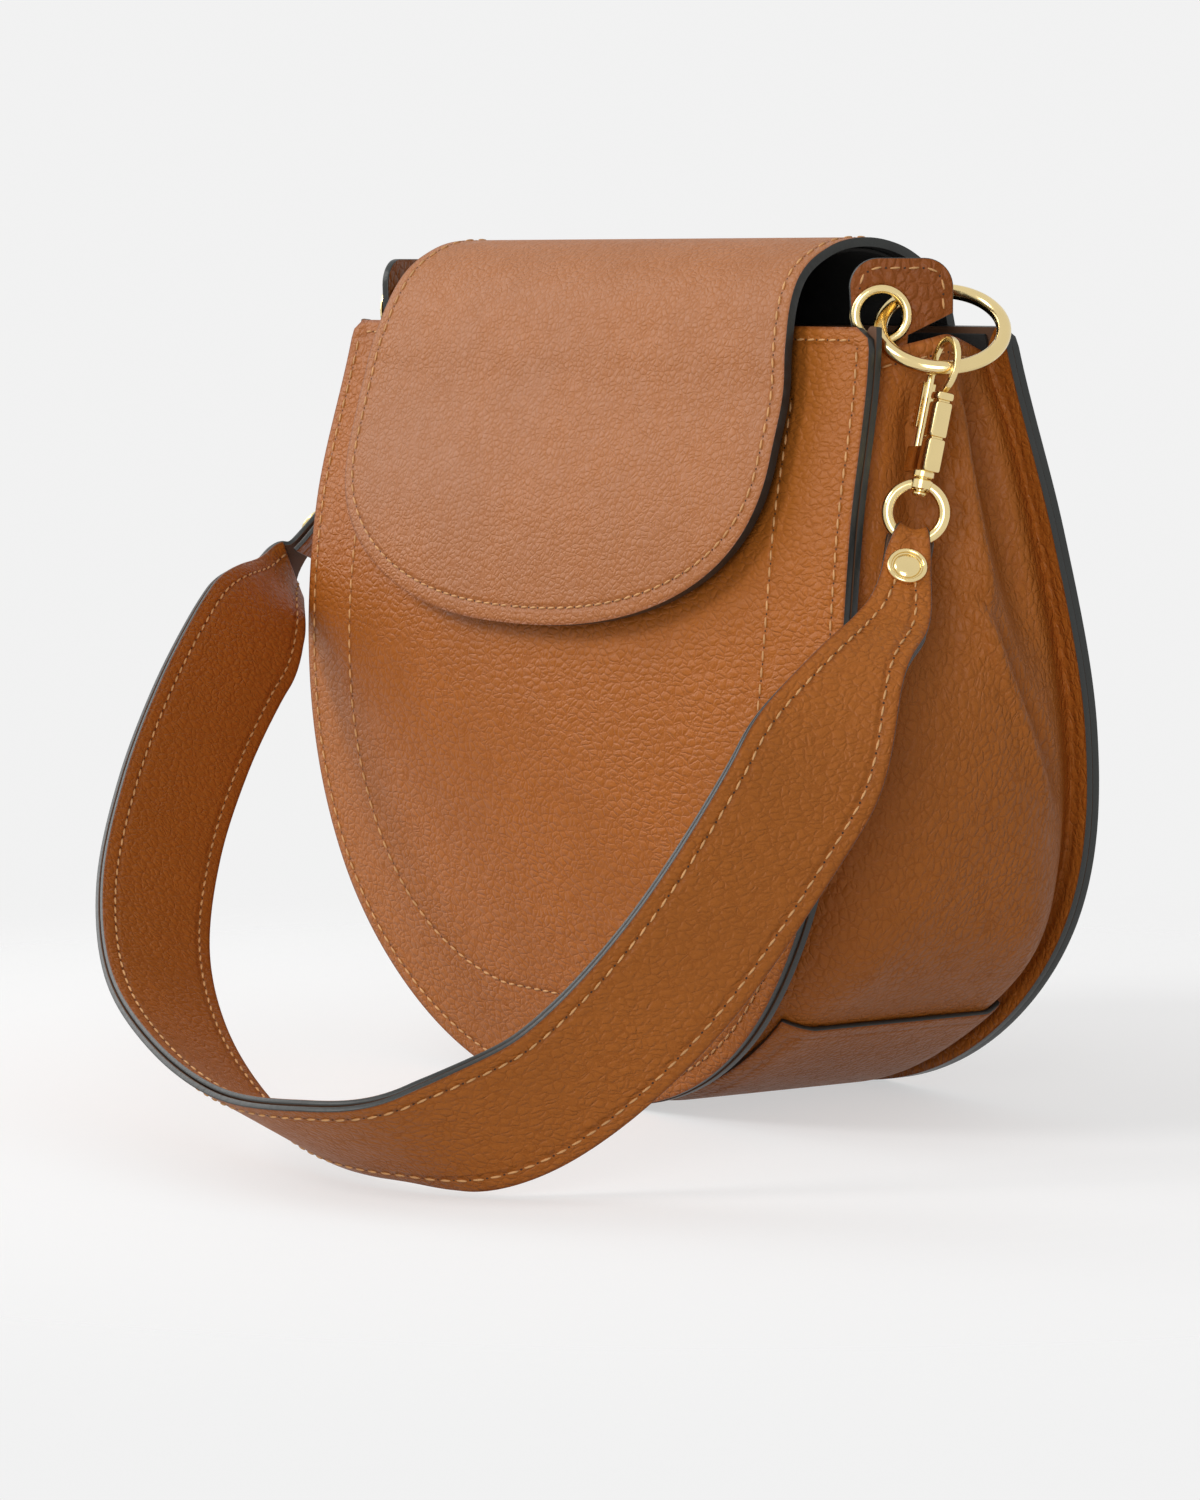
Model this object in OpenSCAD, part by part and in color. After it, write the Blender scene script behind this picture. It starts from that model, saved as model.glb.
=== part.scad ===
// Saddle-shaped leather shoulder bag with a rounded flap, side rings and a short hand strap.
// X runs across the bag, -Y is the front, +Z is up. The bag stands on its base piece at z = 0.

/* [Bag body] */
// Greatest width of the front and back panels
bag_w = 263; // [200:1:330]
// Width of the panels at the mouth
mouth_w = 251; // [190:1:262]
// Height of the panels
bag_h = 212; // [160:1:260]
// Height at which the panels are widest
waist_z = 140; // [110:1:160]
// Front panel's greatest reach forward of the middle plane, at its edge
front_reach = 50; // [36:1:64]
// Back panel's greatest reach behind the middle plane, at its edge
back_reach = 45; // [32:1:60]
// How far the front panel swells beyond its own edge
front_belly = 9; // [3:0.5:14]
// How far the back panel swells beyond its own edge
back_belly = 6; // [2:0.5:10]
// Thickness of the panels' leather
panel_t = 2; // [1.4:0.1:2.4]
// Thickness of the linings
lining_t = 0.9; // [0.6:0.1:1.2]
// Distance of the linings' edge from the panels' edge
lining_inset = 10; // [9:0.5:16]

/* [Gusset and base piece] */
// Thickness of the gusset leather
gusset_t = 1.8; // [1.2:0.1:2]
// Width of the sewn edge of the gusset
seam_w = 6; // [5:0.5:8]
// How far the gusset stands out beyond the panels' edge at its fullest
gusset_out = 8; // [3:0.5:9]
// How far the gusset's mouth dips between seam and crease
mouth_dip = 6; // [3:0.5:9]
// Thickness of the base piece's leather
base_t = 1.6; // [1.2:0.1:2]
// Height at which the base piece ends on each side
base_top_z = 30; // [16:1:40]

/* [Flap] */
// Thickness of the flap's leather
flap_t = 2.4; // [1.8:0.1:2.8]
// Half width of the flap over the top of the bag
flap_half_w = 96; // [80:1:104]
// How far the flap widens on each side in front
flap_flare = 7.5; // [0:0.5:10]
// Height of the flap's crest above the panels
flap_rise = 23; // [20:1:30]
// Height of the flap's lower end
flap_tip_z = 131; // [120:1:150]
// Standing-off distance of the flap from the front panel
flap_off = 4; // [3.2:0.1:8]
// Length of the flap sewn to the back panel
flap_sewn = 34; // [20:1:50]

/* [Ring tabs and rings] */
// Thickness of the ring tabs
tab_t = 2.1; // [1.8:0.1:2.4]
// Radius of the eyelet's hole
eyelet_hole_r = 5.6; // [5.4:0.1:5.8]
// Radius of the eyelet's flange
eyelet_r = 7.9; // [7.7:0.1:8.2]
// Mean radius of the carrying rings
ring_r = 15.8; // [15.4:0.1:16.2]
// Radius of the rings' wire
ring_wire_r = 1.9; // [1.6:0.1:2]

/* [Snap hooks] */
// Inner radius of the hook's loop
hook_hole_r = 5.9; // [5.5:0.1:6.1]
// Width of the hook's metal round the loop
hook_wall = 1.7; // [1.5:0.1:2]
// Thickness of the hook's loop
hook_loop_t = 1.5; // [1.3:0.1:1.8]
// Thickness of the hook's shank
hook_shank_t = 4.4; // [3.6:0.1:5]
// Distance from the middle of the loop to the middle of the swivel eye
hook_len = 37.4; // [36:0.2:43]
// Travel of the sliding bolt
bolt_travel = 4.6; // [4.4:0.1:4.8]
// Mean radius of the swivel eye
eye_r = 7.2; // [6.8:0.1:8]
// Radius of the swivel eye's wire
eye_wire_r = 1.5; // [1.2:0.1:1.7]

/* [Strap] */
// Full width of the strap
strap_w = 38; // [30:0.5:42]
// Width of the strap's folded ends
strap_end_w = 12; // [10:0.5:12.5]
// Thickness of each of the strap's two plies
ply_t = 1.5; // [1.2:0.1:1.7]
// How far the strap's hoop reaches forward of its ends
strap_reach = 143; // [125:1:170]
// Radius of the rivets' caps
rivet_r = 5.1; // [4.6:0.1:5.6]

/* [Closure and pocket] */
// Radius of the magnetic stud's discs
magnet_r = 8.5; // [7:0.5:10]
// Thickness of each magnet disc
magnet_t = 1.5; // [1.2:0.1:1.6]
// Height of the magnetic stud above the base
magnet_z = 152; // [145:1:160]
// Height of the inner pocket
pocket_h = 120; // [80:1:140]

/* [Hidden] */

// Gap between layers that lie against each other
layer_gap = 0.3;
// Overrun of cuts
over = 1;
// Radial clearance of pins that turn in their holes
pin_gap = 0.06;

// Colours
tan_leather = [0.62, 0.33, 0.16];
dark_lining = [0.10, 0.09, 0.08];
gold = [0.85, 0.72, 0.40];

// Curvature of the panels' lower outline and of the taper towards the mouth
corner_power = 2.3;
taper_power = 1.8;
// Roundness of the panels' upper corners
top_corner_r = bag_h * 0.02;
// Panels' reach at equal steps of height, as shares of the greatest reach
front_reach_shares = [0.90, 0.985, 1.0, 0.93, 0.73];
back_reach_shares = [0.98, 1.0, 0.80, 0.51, 0.235];
// Panels' swell at equal steps of height, as shares of the greatest swell
belly_shares = [0, 0.75, 1.0, 0.8, 0.35];
// Rows and columns of the modelled sheets
panel_rows = 18;
panel_cols = 12;

// Small mathematics

function lerp(a, b, t) = a + (b - a) * t;
function clamp01(t) = min(1, max(0, t));
function smooth(t) = let (c = clamp01(t)) c * c * (3 - 2 * c);
function unit(v) = v / norm(v);
function knot(list, i) = list[max(0, min(len(list) - 1, i))];
// Smooth curve through equally spaced values or points, t from 0 to 1
function through(list, t) =
    let (n = len(list) - 1, s = clamp01(t) * n, i = min(n - 1, floor(s)), f = s - i,
         a = knot(list, i - 1), b = knot(list, i), c = knot(list, i + 1), d = knot(list, i + 2))
    b + (c - a) * f / 2 + (2 * a - 5 * b + 4 * c - d) * f * f / 2
      + (3 * b - a - 3 * c + d) * f * f * f / 2;
// Direction of a polyline at one of its points
function along(list, i) = unit(knot(list, i + 1) - knot(list, i - 1));
// Normal of a planar polyline, to the left of its direction
function beside(list, i) = let (d = along(list, i)) [-d[1], d[0]];
function mirrored_x(p) = [-p[0], p[1], p[2]];

// A closed sheet between two grids of points, given row by row; the outer grid faces outwards
// when columns run to the left of rows seen from outside
module sheet(outer, inner) {
    rows = len(outer);
    cols = len(outer[0]);
    n = rows * cols;
    pts = concat([for (row = outer) for (p = row) p], [for (row = inner) for (p = row) p]);
    faces = concat(
        [for (r = [0 : rows - 2]) for (c = [0 : cols - 2]) let (a = r * cols + c)
            each [[a, a + cols, a + 1], [a + 1, a + cols, a + cols + 1]]],
        [for (r = [0 : rows - 2]) for (c = [0 : cols - 2]) let (a = n + r * cols + c)
            each [[a, a + 1, a + cols], [a + 1, a + cols + 1, a + cols]]],
        [for (r = [0 : rows - 2]) let (a = r * cols, b = a + cols)
            each [[a, n + a, b], [b, n + a, n + b]]],
        [for (r = [0 : rows - 2]) let (a = r * cols + cols - 1, b = a + cols)
            each [[a, b, n + a], [b, n + b, n + a]]],
        [for (c = [0 : cols - 2]) each [[c, c + 1, n + c], [c + 1, n + c + 1, n + c]]],
        [for (c = [0 : cols - 2]) let (a = (rows - 1) * cols + c)
            each [[a, n + a, a + 1], [a + 1, n + a, n + a + 1]]]);
    polyhedron(points = pts, faces = faces, convexity = 8);
}

// Panels

// Half width of the panels at height z
function half_w(z) =
    let (low = waist_z + foot_sink, w = bag_w / 2)
    z < waist_z ? w * pow(max(0, 1 - pow((waist_z - z) / low, corner_power)), 1 / corner_power)
                : w - (w - mouth_w / 2) * pow((z - waist_z) / (bag_h - waist_z), taper_power);
// The lower outline is cut this far above its own lowest point, so that the bag stands flat
foot_sink = bag_h * 0.006;
// How fast the half width grows with height
function edge_slope(z) = (half_w(z + panel_t) - half_w(z - panel_t)) / (2 * panel_t);
// Part of the half width that the rounded upper corner takes away
function corner_cut(z) =
    let (h = z - (bag_h - top_corner_r))
    h > 0 ? top_corner_r - sqrt(max(0, top_corner_r * top_corner_r - h * h)) : 0;
function edge_front(z) = front_reach * through(front_reach_shares, z / bag_h);
function edge_back(z) = back_reach * through(back_reach_shares, z / bag_h);
function swell(across, z) = (1 - across * across) * through(belly_shares, z / bag_h);
// Outer face of the front and back panel at height z, across from -1 to 1
function front_y(across, z) = -edge_front(z) - front_belly * swell(across, z);
function back_y(across, z) = edge_back(z) + back_belly * swell(across, z);
// Heights of the rows, closer together towards the base
function row_z(i, n, low, high) = low + (high - low) * pow(i / n, 1.5);

// A panel between heights low and high, its face moved inwards by depth, its edge by inset
module panel(front, depth, t, inset, low, high) {
    z_at = [for (i = [0 : panel_rows]) row_z(i, panel_rows, low, high)];
    shares = [for (j = [0 : panel_cols]) -cos(180 * j / panel_cols)];
    function width(z) = max(half_w(z) - inset * norm([1, edge_slope(z)])
                            - (inset > 0 ? 0 : corner_cut(z)), seam_w);
    function place(z, s, d) =
        let (x = s * width(z), a = x / max(half_w(z), seam_w))
        [x, front ? front_y(a, z) + d : back_y(a, z) - d, z];
    face = [for (z = z_at) [for (s = shares) place(z, s, depth)]];
    rear = [for (z = z_at) [for (s = shares) place(z, s, depth + t)]];
    if (front) sheet(face, rear);
    else sheet(rear, face);
}

module front_panel() {
    color(tan_leather) panel(true, 0, panel_t, 0, 0, bag_h);
}

module back_panel() {
    color(tan_leather) panel(false, 0, panel_t, 0, 0, bag_h);
}

lining_low = lining_inset;
lining_high = bag_h - panel_t;

module front_lining() {
    color(dark_lining)
        panel(true, panel_t + layer_gap, lining_t, lining_inset, lining_low, lining_high);
}

module back_lining() {
    color(dark_lining)
        panel(false, panel_t + layer_gap, lining_t, lining_inset, lining_low, lining_high);
}

// The slip pocket is sewn through the front panel along a line well inside its edge
pocket_inset = lining_inset * 2.9;
pocket_low = waist_z * 0.22;

module inner_pocket() {
    color(dark_lining)
        panel(true, panel_t + lining_t + 2 * layer_gap, lining_t, pocket_inset,
              pocket_low, pocket_low + pocket_h);
}

// Gusset

// The panels' rim from the mouth's right corner to the middle of the base
rim_up = 7;
rim_low = 17;
// Half the gap between the two gusset halves under the base piece
gusset_butt = 0.2;
function rim_point(z) = [half_w(z), z];
right_rim = concat(
    [for (i = [0 : rim_up - 1]) rim_point(bag_h - (bag_h - waist_z) * i / rim_up)],
    [for (i = [0 : rim_low]) rim_point(waist_z * (1 - sin(90 * i / rim_low)))],
    [[gusset_butt, 0]]);
rim_n = len(right_rim) - 1;
// Outward normal of the rim in the XZ plane
function rim_out(i) =
    i == 0 ? [1, 0] : i >= rim_n - 1 ? [0, -1]
    : let (d = along(right_rim, i)) [-d[1], d[0]];
// Share of the way down from the mouth to the base
function down_share(i) = 1 - right_rim[i][1] / bag_h;

// Middle line of the seam's leather, measured inwards from the panel's outer face
seam_mid = panel_t + layer_gap + gusset_t / 2;
// Shape across the gusset: sharp crease at the mouth, flat bottom under the bag
function across_power(down) = lerp(1.15, 2, smooth(down / 0.4)) + 4 * smooth((down - 0.45) / 0.5);
// Place of the crease across the gusset: behind the middle at the mouth, where the hook rests
function crease_place(down) = lerp(0.6, 0.5, smooth(down / 0.4));
function skewed(v, down) =
    let (c = crease_place(down)) v < c ? v / c / 2 : 1 - (1 - v) / (1 - c) / 2;
function across_fill(down) = lerp(1, 1.3, smooth((down - 0.6) / 0.38));
function wall_rise(v, down) =
    min(1, across_fill(down) * (1 - pow(abs(2 * skewed(v, down) - 1), across_power(down))));
// Height of the crease over the rim at equal steps from the mouth down, as shares of the fullest
crease_shares = [0.1, 0.12, 0.4, 0.85, 1.0, 1.0, 0.9, 0.8, 0.8];
// Height of the crease over the rim, falling to a little inside it under the bag
gusset_foot = base_t + layer_gap + gusset_t / 2;
function crease_out(down) =
    lerp(gusset_out * through(crease_shares, down), -gusset_foot, smooth((down - 0.72) / 0.22));
wall_cols = 10;
// Cross-section of the gusset's middle line at rim point i, as [y, outward] pairs
function gusset_line(i, layer) =
    let (z = right_rim[i][1], down = down_share(i),
         ya = -edge_front(z) + seam_mid, yb = edge_back(z) - seam_mid,
         bend = gusset_t * 1.3,
         wall = [for (k = [0 : wall_cols])
                   let (v = k / wall_cols)
                   [lerp(ya + 2 * bend, yb - 2 * bend, v),
                    lerp(-seam_w, crease_out(down) + layer, wall_rise(v, down))]])
    layer > 0 ? wall
    : concat([[ya, 0], [ya, -seam_w * 0.55], [ya + bend * 0.3, -seam_w - bend * 0.5]],
             wall,
             [[yb - bend * 0.3, -seam_w - bend * 0.5], [yb, -seam_w * 0.55], [yb, 0]]);
// Dip of the mouth's hem: deepest beside the seams, small at the crease, none at the seams
function hem_dip(i, k, n) =
    let (v = (k - 2) / (n - 5), free = (k > 1 && k < n - 2) ? 1 : 0,
         fade = 1 - smooth((bag_h - right_rim[i][1]) / (mouth_dip * 5)))
    free * fade * mouth_dip * (1 - 0.65 * clamp01(1 - abs(2 * v - 1)));
function gusset_point(i, line, k, offset) =
    let (nrm = beside(line, k), p = line[k] + nrm * offset, out = rim_out(i), r = right_rim[i])
    [r[0] + p[1] * out[0], p[0], r[1] + p[1] * out[1] - hem_dip(i, k, len(line))];

module side_gusset() {
    lines = [for (i = [0 : rim_n]) gusset_line(i, 0)];
    outer = [for (i = [0 : rim_n]) [for (k = [0 : len(lines[i]) - 1])
                gusset_point(i, lines[i], k, gusset_t / 2)]];
    inner = [for (i = [0 : rim_n]) [for (k = [0 : len(lines[i]) - 1])
                gusset_point(i, lines[i], k, -gusset_t / 2)]];
    sheet(inner, outer);
}

module side_gusset_right() {
    color(tan_leather) side_gusset();
}

module side_gusset_left() {
    color(tan_leather) mirror([1, 0, 0]) side_gusset();
}

// The base piece lies outside the two gusset halves and carries the bag
base_layer = gusset_t / 2 + layer_gap + base_t / 2;
base_ids = [for (i = [0 : rim_n]) if (right_rim[i][1] <= base_top_z) i];
base_right = [for (i = base_ids) [for (k = [1 : wall_cols - 1]) [i, k]]];
function base_face(offset) =
    let (half = [for (row = base_right) [for (ik = row)
            let (i = ik[0], line = gusset_line(i, base_layer))
            gusset_base_point(i, line, ik[1], offset)]],
         left = [for (r = [len(half) - 2 : -1 : 0]) [for (p = half[r]) mirrored_x(p)]])
    concat(half, left);
function gusset_base_point(i, line, k, offset) =
    let (nrm = beside(line, k), p = line[k] + nrm * offset, out = rim_out(i), r = right_rim[i],
         x = i == rim_n ? 0 : r[0])
    [x + p[1] * out[0], p[0], max(0, r[1] + p[1] * out[1])];

module base_piece() {
    color(tan_leather) sheet(base_face(-base_t / 2), base_face(base_t / 2));
}

// Ring tabs, eyelets and rings

// Centre of the right eyelet
eyelet_pos = [mouth_w / 2 - seam_w * 1.40, -edge_front(bag_h) + seam_w * 1.67,
              bag_h + eyelet_r * 0.38];
// The tab's plane is turned so that its rear end stands further out
tab_turn = 28.9;
tab_front = eyelet_r + layer_gap;
tab_rear = eyelet_r * 2.35;
tab_top = eyelet_r * 1.85;
tab_bottom = eyelet_r * 2.6;
tab_corner = eyelet_r * 0.95;
tab_steps = 8;
// Outline of the tab about its eyelet: the rear is at +x, the top at +y;
// its lower part is narrower, so that it goes down inside the gusset
tab_outline = concat(
    [[-tab_front * 0.8, -tab_bottom], [tab_rear * 0.32, -tab_bottom],
     [tab_rear * 0.38, -eyelet_r * 0.66], [tab_rear, eyelet_r * 0.06]],
    [for (i = [0 : tab_steps]) let (a = 90 * i / tab_steps)
        [tab_rear - tab_corner + tab_corner * cos(a), tab_top - tab_corner + tab_corner * sin(a)]],
    [for (i = [0 : tab_steps]) let (a = 90 + 90 * i / tab_steps)
        [-tab_front + tab_corner + tab_corner * cos(a), tab_top - tab_corner + tab_corner * sin(a)]]);
barrel_wall = eyelet_r * 0.08;
barrel_r = eyelet_hole_r + barrel_wall;
flange_t = eyelet_r * 0.09;
washer_t = tab_t * 0.2;

// Places its children with their z axis along the tab's outward normal, at the right eyelet
module at_tab() {
    translate(eyelet_pos) rotate([0, 0, 90 - tab_turn]) rotate([90, 0, 0]) children();
}

module ring_tab() {
    color(tan_leather) at_tab()
        translate([0, 0, -tab_t / 2]) linear_extrude(tab_t) difference() {
            polygon(tab_outline);
            circle(r = barrel_r + layer_gap / 2, $fn = 48);
        }
}

// Metal eyelet: domed flange outside, barrel through the tab, lip rolled over the washer inside
module eyelet() {
    back = tab_t / 2 + layer_gap + washer_t + layer_gap;
    lip_r = eyelet_hole_r + barrel_wall * 2.4;
    color(gold) at_tab() rotate_extrude($fn = 64)
        polygon([[eyelet_hole_r, -back], [eyelet_hole_r, tab_t / 2 + layer_gap / 2],
                 [eyelet_hole_r + barrel_wall, tab_t / 2 + layer_gap + flange_t],
                 [lerp(barrel_r, eyelet_r, 0.5), tab_t / 2 + layer_gap + flange_t * 1.25],
                 [eyelet_r - flange_t / 2, tab_t / 2 + layer_gap + flange_t * 0.9],
                 [eyelet_r, tab_t / 2 + layer_gap + flange_t * 0.4],
                 [eyelet_r, tab_t / 2 + layer_gap],
                 [barrel_r, tab_t / 2 + layer_gap], [barrel_r, -back],
                 [lip_r, -back], [lip_r, -back - barrel_wall],
                 [eyelet_hole_r + barrel_wall / 2, -back - barrel_wall]]);
}

module eyelet_washer() {
    color(gold) at_tab() translate([0, 0, -tab_t / 2 - layer_gap - washer_t])
        linear_extrude(washer_t) difference() {
            circle(r = eyelet_r, $fn = 64);
            circle(r = barrel_r + layer_gap / 2, $fn = 48);
        }
}

// The ring's plane: its normal leans out from the vertical by ring_lean and is turned forwards
ring_lean = 37.8;
ring_turn = -34.9;
// Directions in the ring's plane: towards the hook, and along the wire at the hook
ring_u = [cos(ring_lean) * cos(ring_turn), cos(ring_lean) * sin(ring_turn), -sin(ring_lean)];
ring_w = [-sin(ring_turn), cos(ring_turn), 0];
// Where the wire crosses the eyelet, as an angle round the ring and as a place in the hole
ring_cross = -105.7;
cross_pos = eyelet_pos + eyelet_r * [0.04 * sin(tab_turn), 0.04 * cos(tab_turn), -0.12];
ring_centre = cross_pos - ring_r * (cos(ring_cross) * ring_u + sin(ring_cross) * ring_w);
// Middle of the hook's loop, on the wire's centre line; the strap swings about this height
hook_pos = ring_centre + ring_r * ring_u;

module o_ring() {
    color(gold) translate(ring_centre) rotate([0, ring_lean, ring_turn])
        rotate_extrude($fn = 96) translate([ring_r, 0]) circle(r = ring_wire_r, $fn = 32);
}

module ring_tab_right() { ring_tab(); }
module ring_tab_left() { mirror([1, 0, 0]) ring_tab(); }
module eyelet_right() { eyelet(); }
module eyelet_left() { mirror([1, 0, 0]) eyelet(); }
module eyelet_washer_right() { eyelet_washer(); }
module eyelet_washer_left() { mirror([1, 0, 0]) eyelet_washer(); }
module o_ring_right() { o_ring(); }
module o_ring_left() { mirror([1, 0, 0]) o_ring(); }

// Snap hooks

// The hook hangs on the ring, leaning forwards; its plane is turned about its own length
hook_lean = -13.5;
hook_turn = -12;
hook_out_r = hook_hole_r + hook_wall;
shank_right = hook_out_r * 0.66;
shank_left = -hook_out_r * 0.06;
housing_left = -hook_out_r * 1.12;
housing_top = -hook_hole_r * 3.45;
shank_bottom = -hook_len + eye_r + eye_wire_r * 2.1;
bolt_r = hook_wall * 0.6;
bolt_x = -hook_hole_r - hook_wall / 2;
neck_r = eye_wire_r * 0.85;
neck_head_r = neck_r * 1.5;
collar_t = eye_wire_r * 1.0;
boss_r = eye_wire_r * 1.9;
boss_top = shank_bottom - collar_t - layer_gap;
boss_bottom = -hook_len + eye_r - eye_wire_r;
head_t = eye_wire_r * 0.8;

// Places its children in the hook's own frame: loop at the origin, length along -z
module at_hook() {
    translate(hook_pos) rotate([hook_lean, 0, 0]) rotate([0, 0, hook_turn]) children();
}

// Extrudes an outline drawn in the hook's plane, t thick
module in_hook_plane(t) {
    rotate([90, 0, 0]) translate([0, 0, -t / 2]) linear_extrude(t) children();
}

loop_start = -64;
loop_end = 166;
loop_steps = 28;
loop_outline = concat(
    [for (i = [0 : loop_steps]) let (a = lerp(loop_start, loop_end, i / loop_steps))
        hook_out_r * [cos(a), sin(a)]],
    [for (i = [loop_steps : -1 : 0]) let (a = lerp(loop_start, loop_end, i / loop_steps))
        hook_hole_r * [cos(a), sin(a)]]);
// The loop sits this far above the middle of the ring's wire, so that it clears the ring's curve
hook_lift = hook_wall * 0.35;
// Height at which the shank meets the loop
shank_top = hook_out_r * sin(loop_start);
shank_bevel = hook_shank_t * 0.22;

module hook_body() {
    color(gold) at_hook() difference() {
        union() {
            translate([0, 0, hook_lift]) in_hook_plane(hook_loop_t) polygon(loop_outline);
            // Shank with bevelled edges, joined to the loop's lower right side
            translate([0, 0, shank_bottom]) linear_extrude(shank_top - shank_bottom + hook_wall * 0.6)
                polygon([[shank_left, -hook_shank_t / 2 + shank_bevel],
                         [shank_left + shank_bevel, -hook_shank_t / 2],
                         [shank_right - shank_bevel, -hook_shank_t / 2],
                         [shank_right, -hook_shank_t / 2 + shank_bevel],
                         [shank_right, hook_shank_t / 2 - shank_bevel],
                         [shank_right - shank_bevel, hook_shank_t / 2],
                         [shank_left + shank_bevel, hook_shank_t / 2],
                         [shank_left, hook_shank_t / 2 - shank_bevel]]);
            // Housing that guides the sliding bolt
            translate([housing_left, -hook_shank_t / 2, shank_bottom])
                cube([shank_right - housing_left - hook_wall, hook_shank_t,
                      housing_top - shank_bottom]);
            // Collar and neck of the swivel
            translate([0, 0, shank_bottom - collar_t])
                cylinder(r = boss_r, h = collar_t + over / 2, $fn = 32);
            translate([0, 0, boss_bottom - layer_gap - head_t])
                cylinder(r = neck_r, h = shank_bottom - boss_bottom + layer_gap + head_t, $fn = 32);
            translate([0, 0, boss_bottom - layer_gap - head_t])
                cylinder(r = neck_head_r, h = head_t, $fn = 32);
        }
        // Bore of the bolt, blind, with room for the travel
        translate([bolt_x, 0, housing_top - bolt_travel - hook_wall])
            cylinder(r = bolt_r + pin_gap, h = bolt_travel + hook_wall + over, $fn = 32);
        // Clears the shank's top out of the loop's hole
        translate([0, 0, hook_lift])
            in_hook_plane(hook_shank_t + over) circle(r = hook_hole_r, $fn = 64);
    }
}

// Sliding bolt with its ribbed thumb piece; it closes the loop's open side
thumb_top = -hook_hole_r * 0.62;
thumb_bottom = housing_top + bolt_travel + layer_gap;
thumb_ribs = 5;
rib = hook_wall * 0.3;

module hook_bolt() {
    bolt_top = hook_out_r * sin(loop_end) - hook_wall * 0.45;
    pitch = (thumb_top - thumb_bottom) / thumb_ribs;
    color(gold) at_hook() union() {
        translate([bolt_x, 0, housing_top - hook_wall * 0.6])
            cylinder(r = bolt_r, h = bolt_top - housing_top + hook_wall * 0.6, $fn = 32);
        in_hook_plane(hook_shank_t * 0.8)
            polygon(concat(
                [[bolt_x, thumb_bottom], [bolt_x, thumb_top]],
                [for (i = [0 : thumb_ribs - 1]) each [
                    [housing_left - rib, thumb_top - pitch * i],
                    [housing_left - 2 * rib, thumb_top - pitch * (i + 0.35)],
                    [housing_left - rib, thumb_top - pitch * (i + 0.7)]]],
                [[housing_left - rib, thumb_bottom]]));
    }
}

// Swivel eye: a ring under a boss that turns on the hook's neck
eye_turn = 55;

module swivel_eye() {
    color(gold) translate(hook_pos) rotate([hook_lean, 0, 0]) difference() {
        union() {
            translate([0, 0, -hook_len]) rotate([0, 0, eye_turn]) rotate([90, 0, 0])
                rotate_extrude($fn = 64) translate([eye_r, 0]) circle(r = eye_wire_r, $fn = 24);
            translate([0, 0, boss_bottom]) cylinder(r = boss_r, h = boss_top - boss_bottom, $fn = 32);
        }
        translate([0, 0, boss_bottom - over])
            cylinder(r = neck_r + pin_gap, h = boss_top - boss_bottom + 2 * over, $fn = 32);
    }
}

module hook_body_right() { hook_body(); }
module hook_body_left() { mirror([1, 0, 0]) hook_body(); }
module hook_bolt_right() { hook_bolt(); }
module hook_bolt_left() { mirror([1, 0, 0]) hook_bolt(); }
module swivel_eye_right() { swivel_eye(); }
module swivel_eye_left() { mirror([1, 0, 0]) swivel_eye(); }

// Strap

// In the frame of a folded end: down the hook, across the eye, and out of the eye's plane
fold_down = [0, sin(hook_lean), -cos(hook_lean)];
fold_across = -[cos(eye_turn), sin(eye_turn) * cos(hook_lean), sin(eye_turn) * sin(hook_lean)];
fold_out = cross(fold_across, fold_down);
eye_right = hook_pos + hook_len * fold_down;
// How far the folded end swings out of the eye's plane, and its direction away from the fold
end_swing = 30;
end_dir = cos(end_swing) * fold_down + sin(end_swing) * fold_out;
// Lowest point of the eye's wire, round which the strap's end is folded
fold_right = eye_right + eye_r * fold_down;
fold_r = eye_wire_r + layer_gap + ply_t / 2;
ply_gap = 0.3;
ply_mid = (ply_t + ply_gap) / 2;
// Lengths of the straight part of each end, from the fold
straight_from = rivet_r * 1.02;
straight_to = rivet_r * 4.67;
// The strap's middle line between the straight ends, right to left: across as a share of the
// folds' distance from the middle, forwards as a share of the reach, height as a share of the folds'
strap_route_shares = [
    [1.13, 0.205, 0.805], [1.15, 0.37, 0.60], [1.10, 0.575, 0.345], [1.015, 0.77, 0.17],
    [0.92, 0.945, 0.105], [0.765, 1.04, 0.09], [0.555, 1.065, 0.095], [0.30, 1.045, 0.145],
    [0.025, 0.98, 0.225], [-0.225, 0.87, 0.34], [-0.435, 0.72, 0.48], [-0.61, 0.555, 0.615],
    [-0.76, 0.39, 0.73], [-0.895, 0.235, 0.815]];
// Direction of the strap's width at the same places, before it is squared to the middle line
strap_width_dirs = [
    [-0.58, -0.74, 0.34], [-0.24, -0.82, 0.52], [-0.14, -0.84, 0.53], [-0.06, -0.86, 0.5],
    [-0.1, -0.88, 0.46], [-0.02, -0.86, 0.52], [0.02, -0.87, 0.5], [-0.01, -0.88, 0.47],
    [-0.05, -0.88, 0.47], [-0.06, -0.82, 0.57], [-0.03, -0.77, 0.64], [-0.03, -0.73, 0.68],
    [0.04, -0.77, 0.63], [0.22, -0.86, 0.45]];
function route_place(share) =
    [share[0] * fold_right[0], fold_right[1] - share[1] * strap_reach, share[2] * fold_right[2]];
route_knots = concat(
    [fold_right + straight_from * end_dir, fold_right + straight_to * end_dir],
    [for (share = strap_route_shares) route_place(share)],
    [mirrored_x(fold_right + straight_to * end_dir), mirrored_x(fold_right + straight_from * end_dir)]);
left_across = mirrored_x(fold_across);
width_knots = concat([fold_across, fold_across], strap_width_dirs, [left_across, left_across]);
route_steps = 56;
route = [for (i = [0 : route_steps]) through(route_knots, i / route_steps)];
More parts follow.
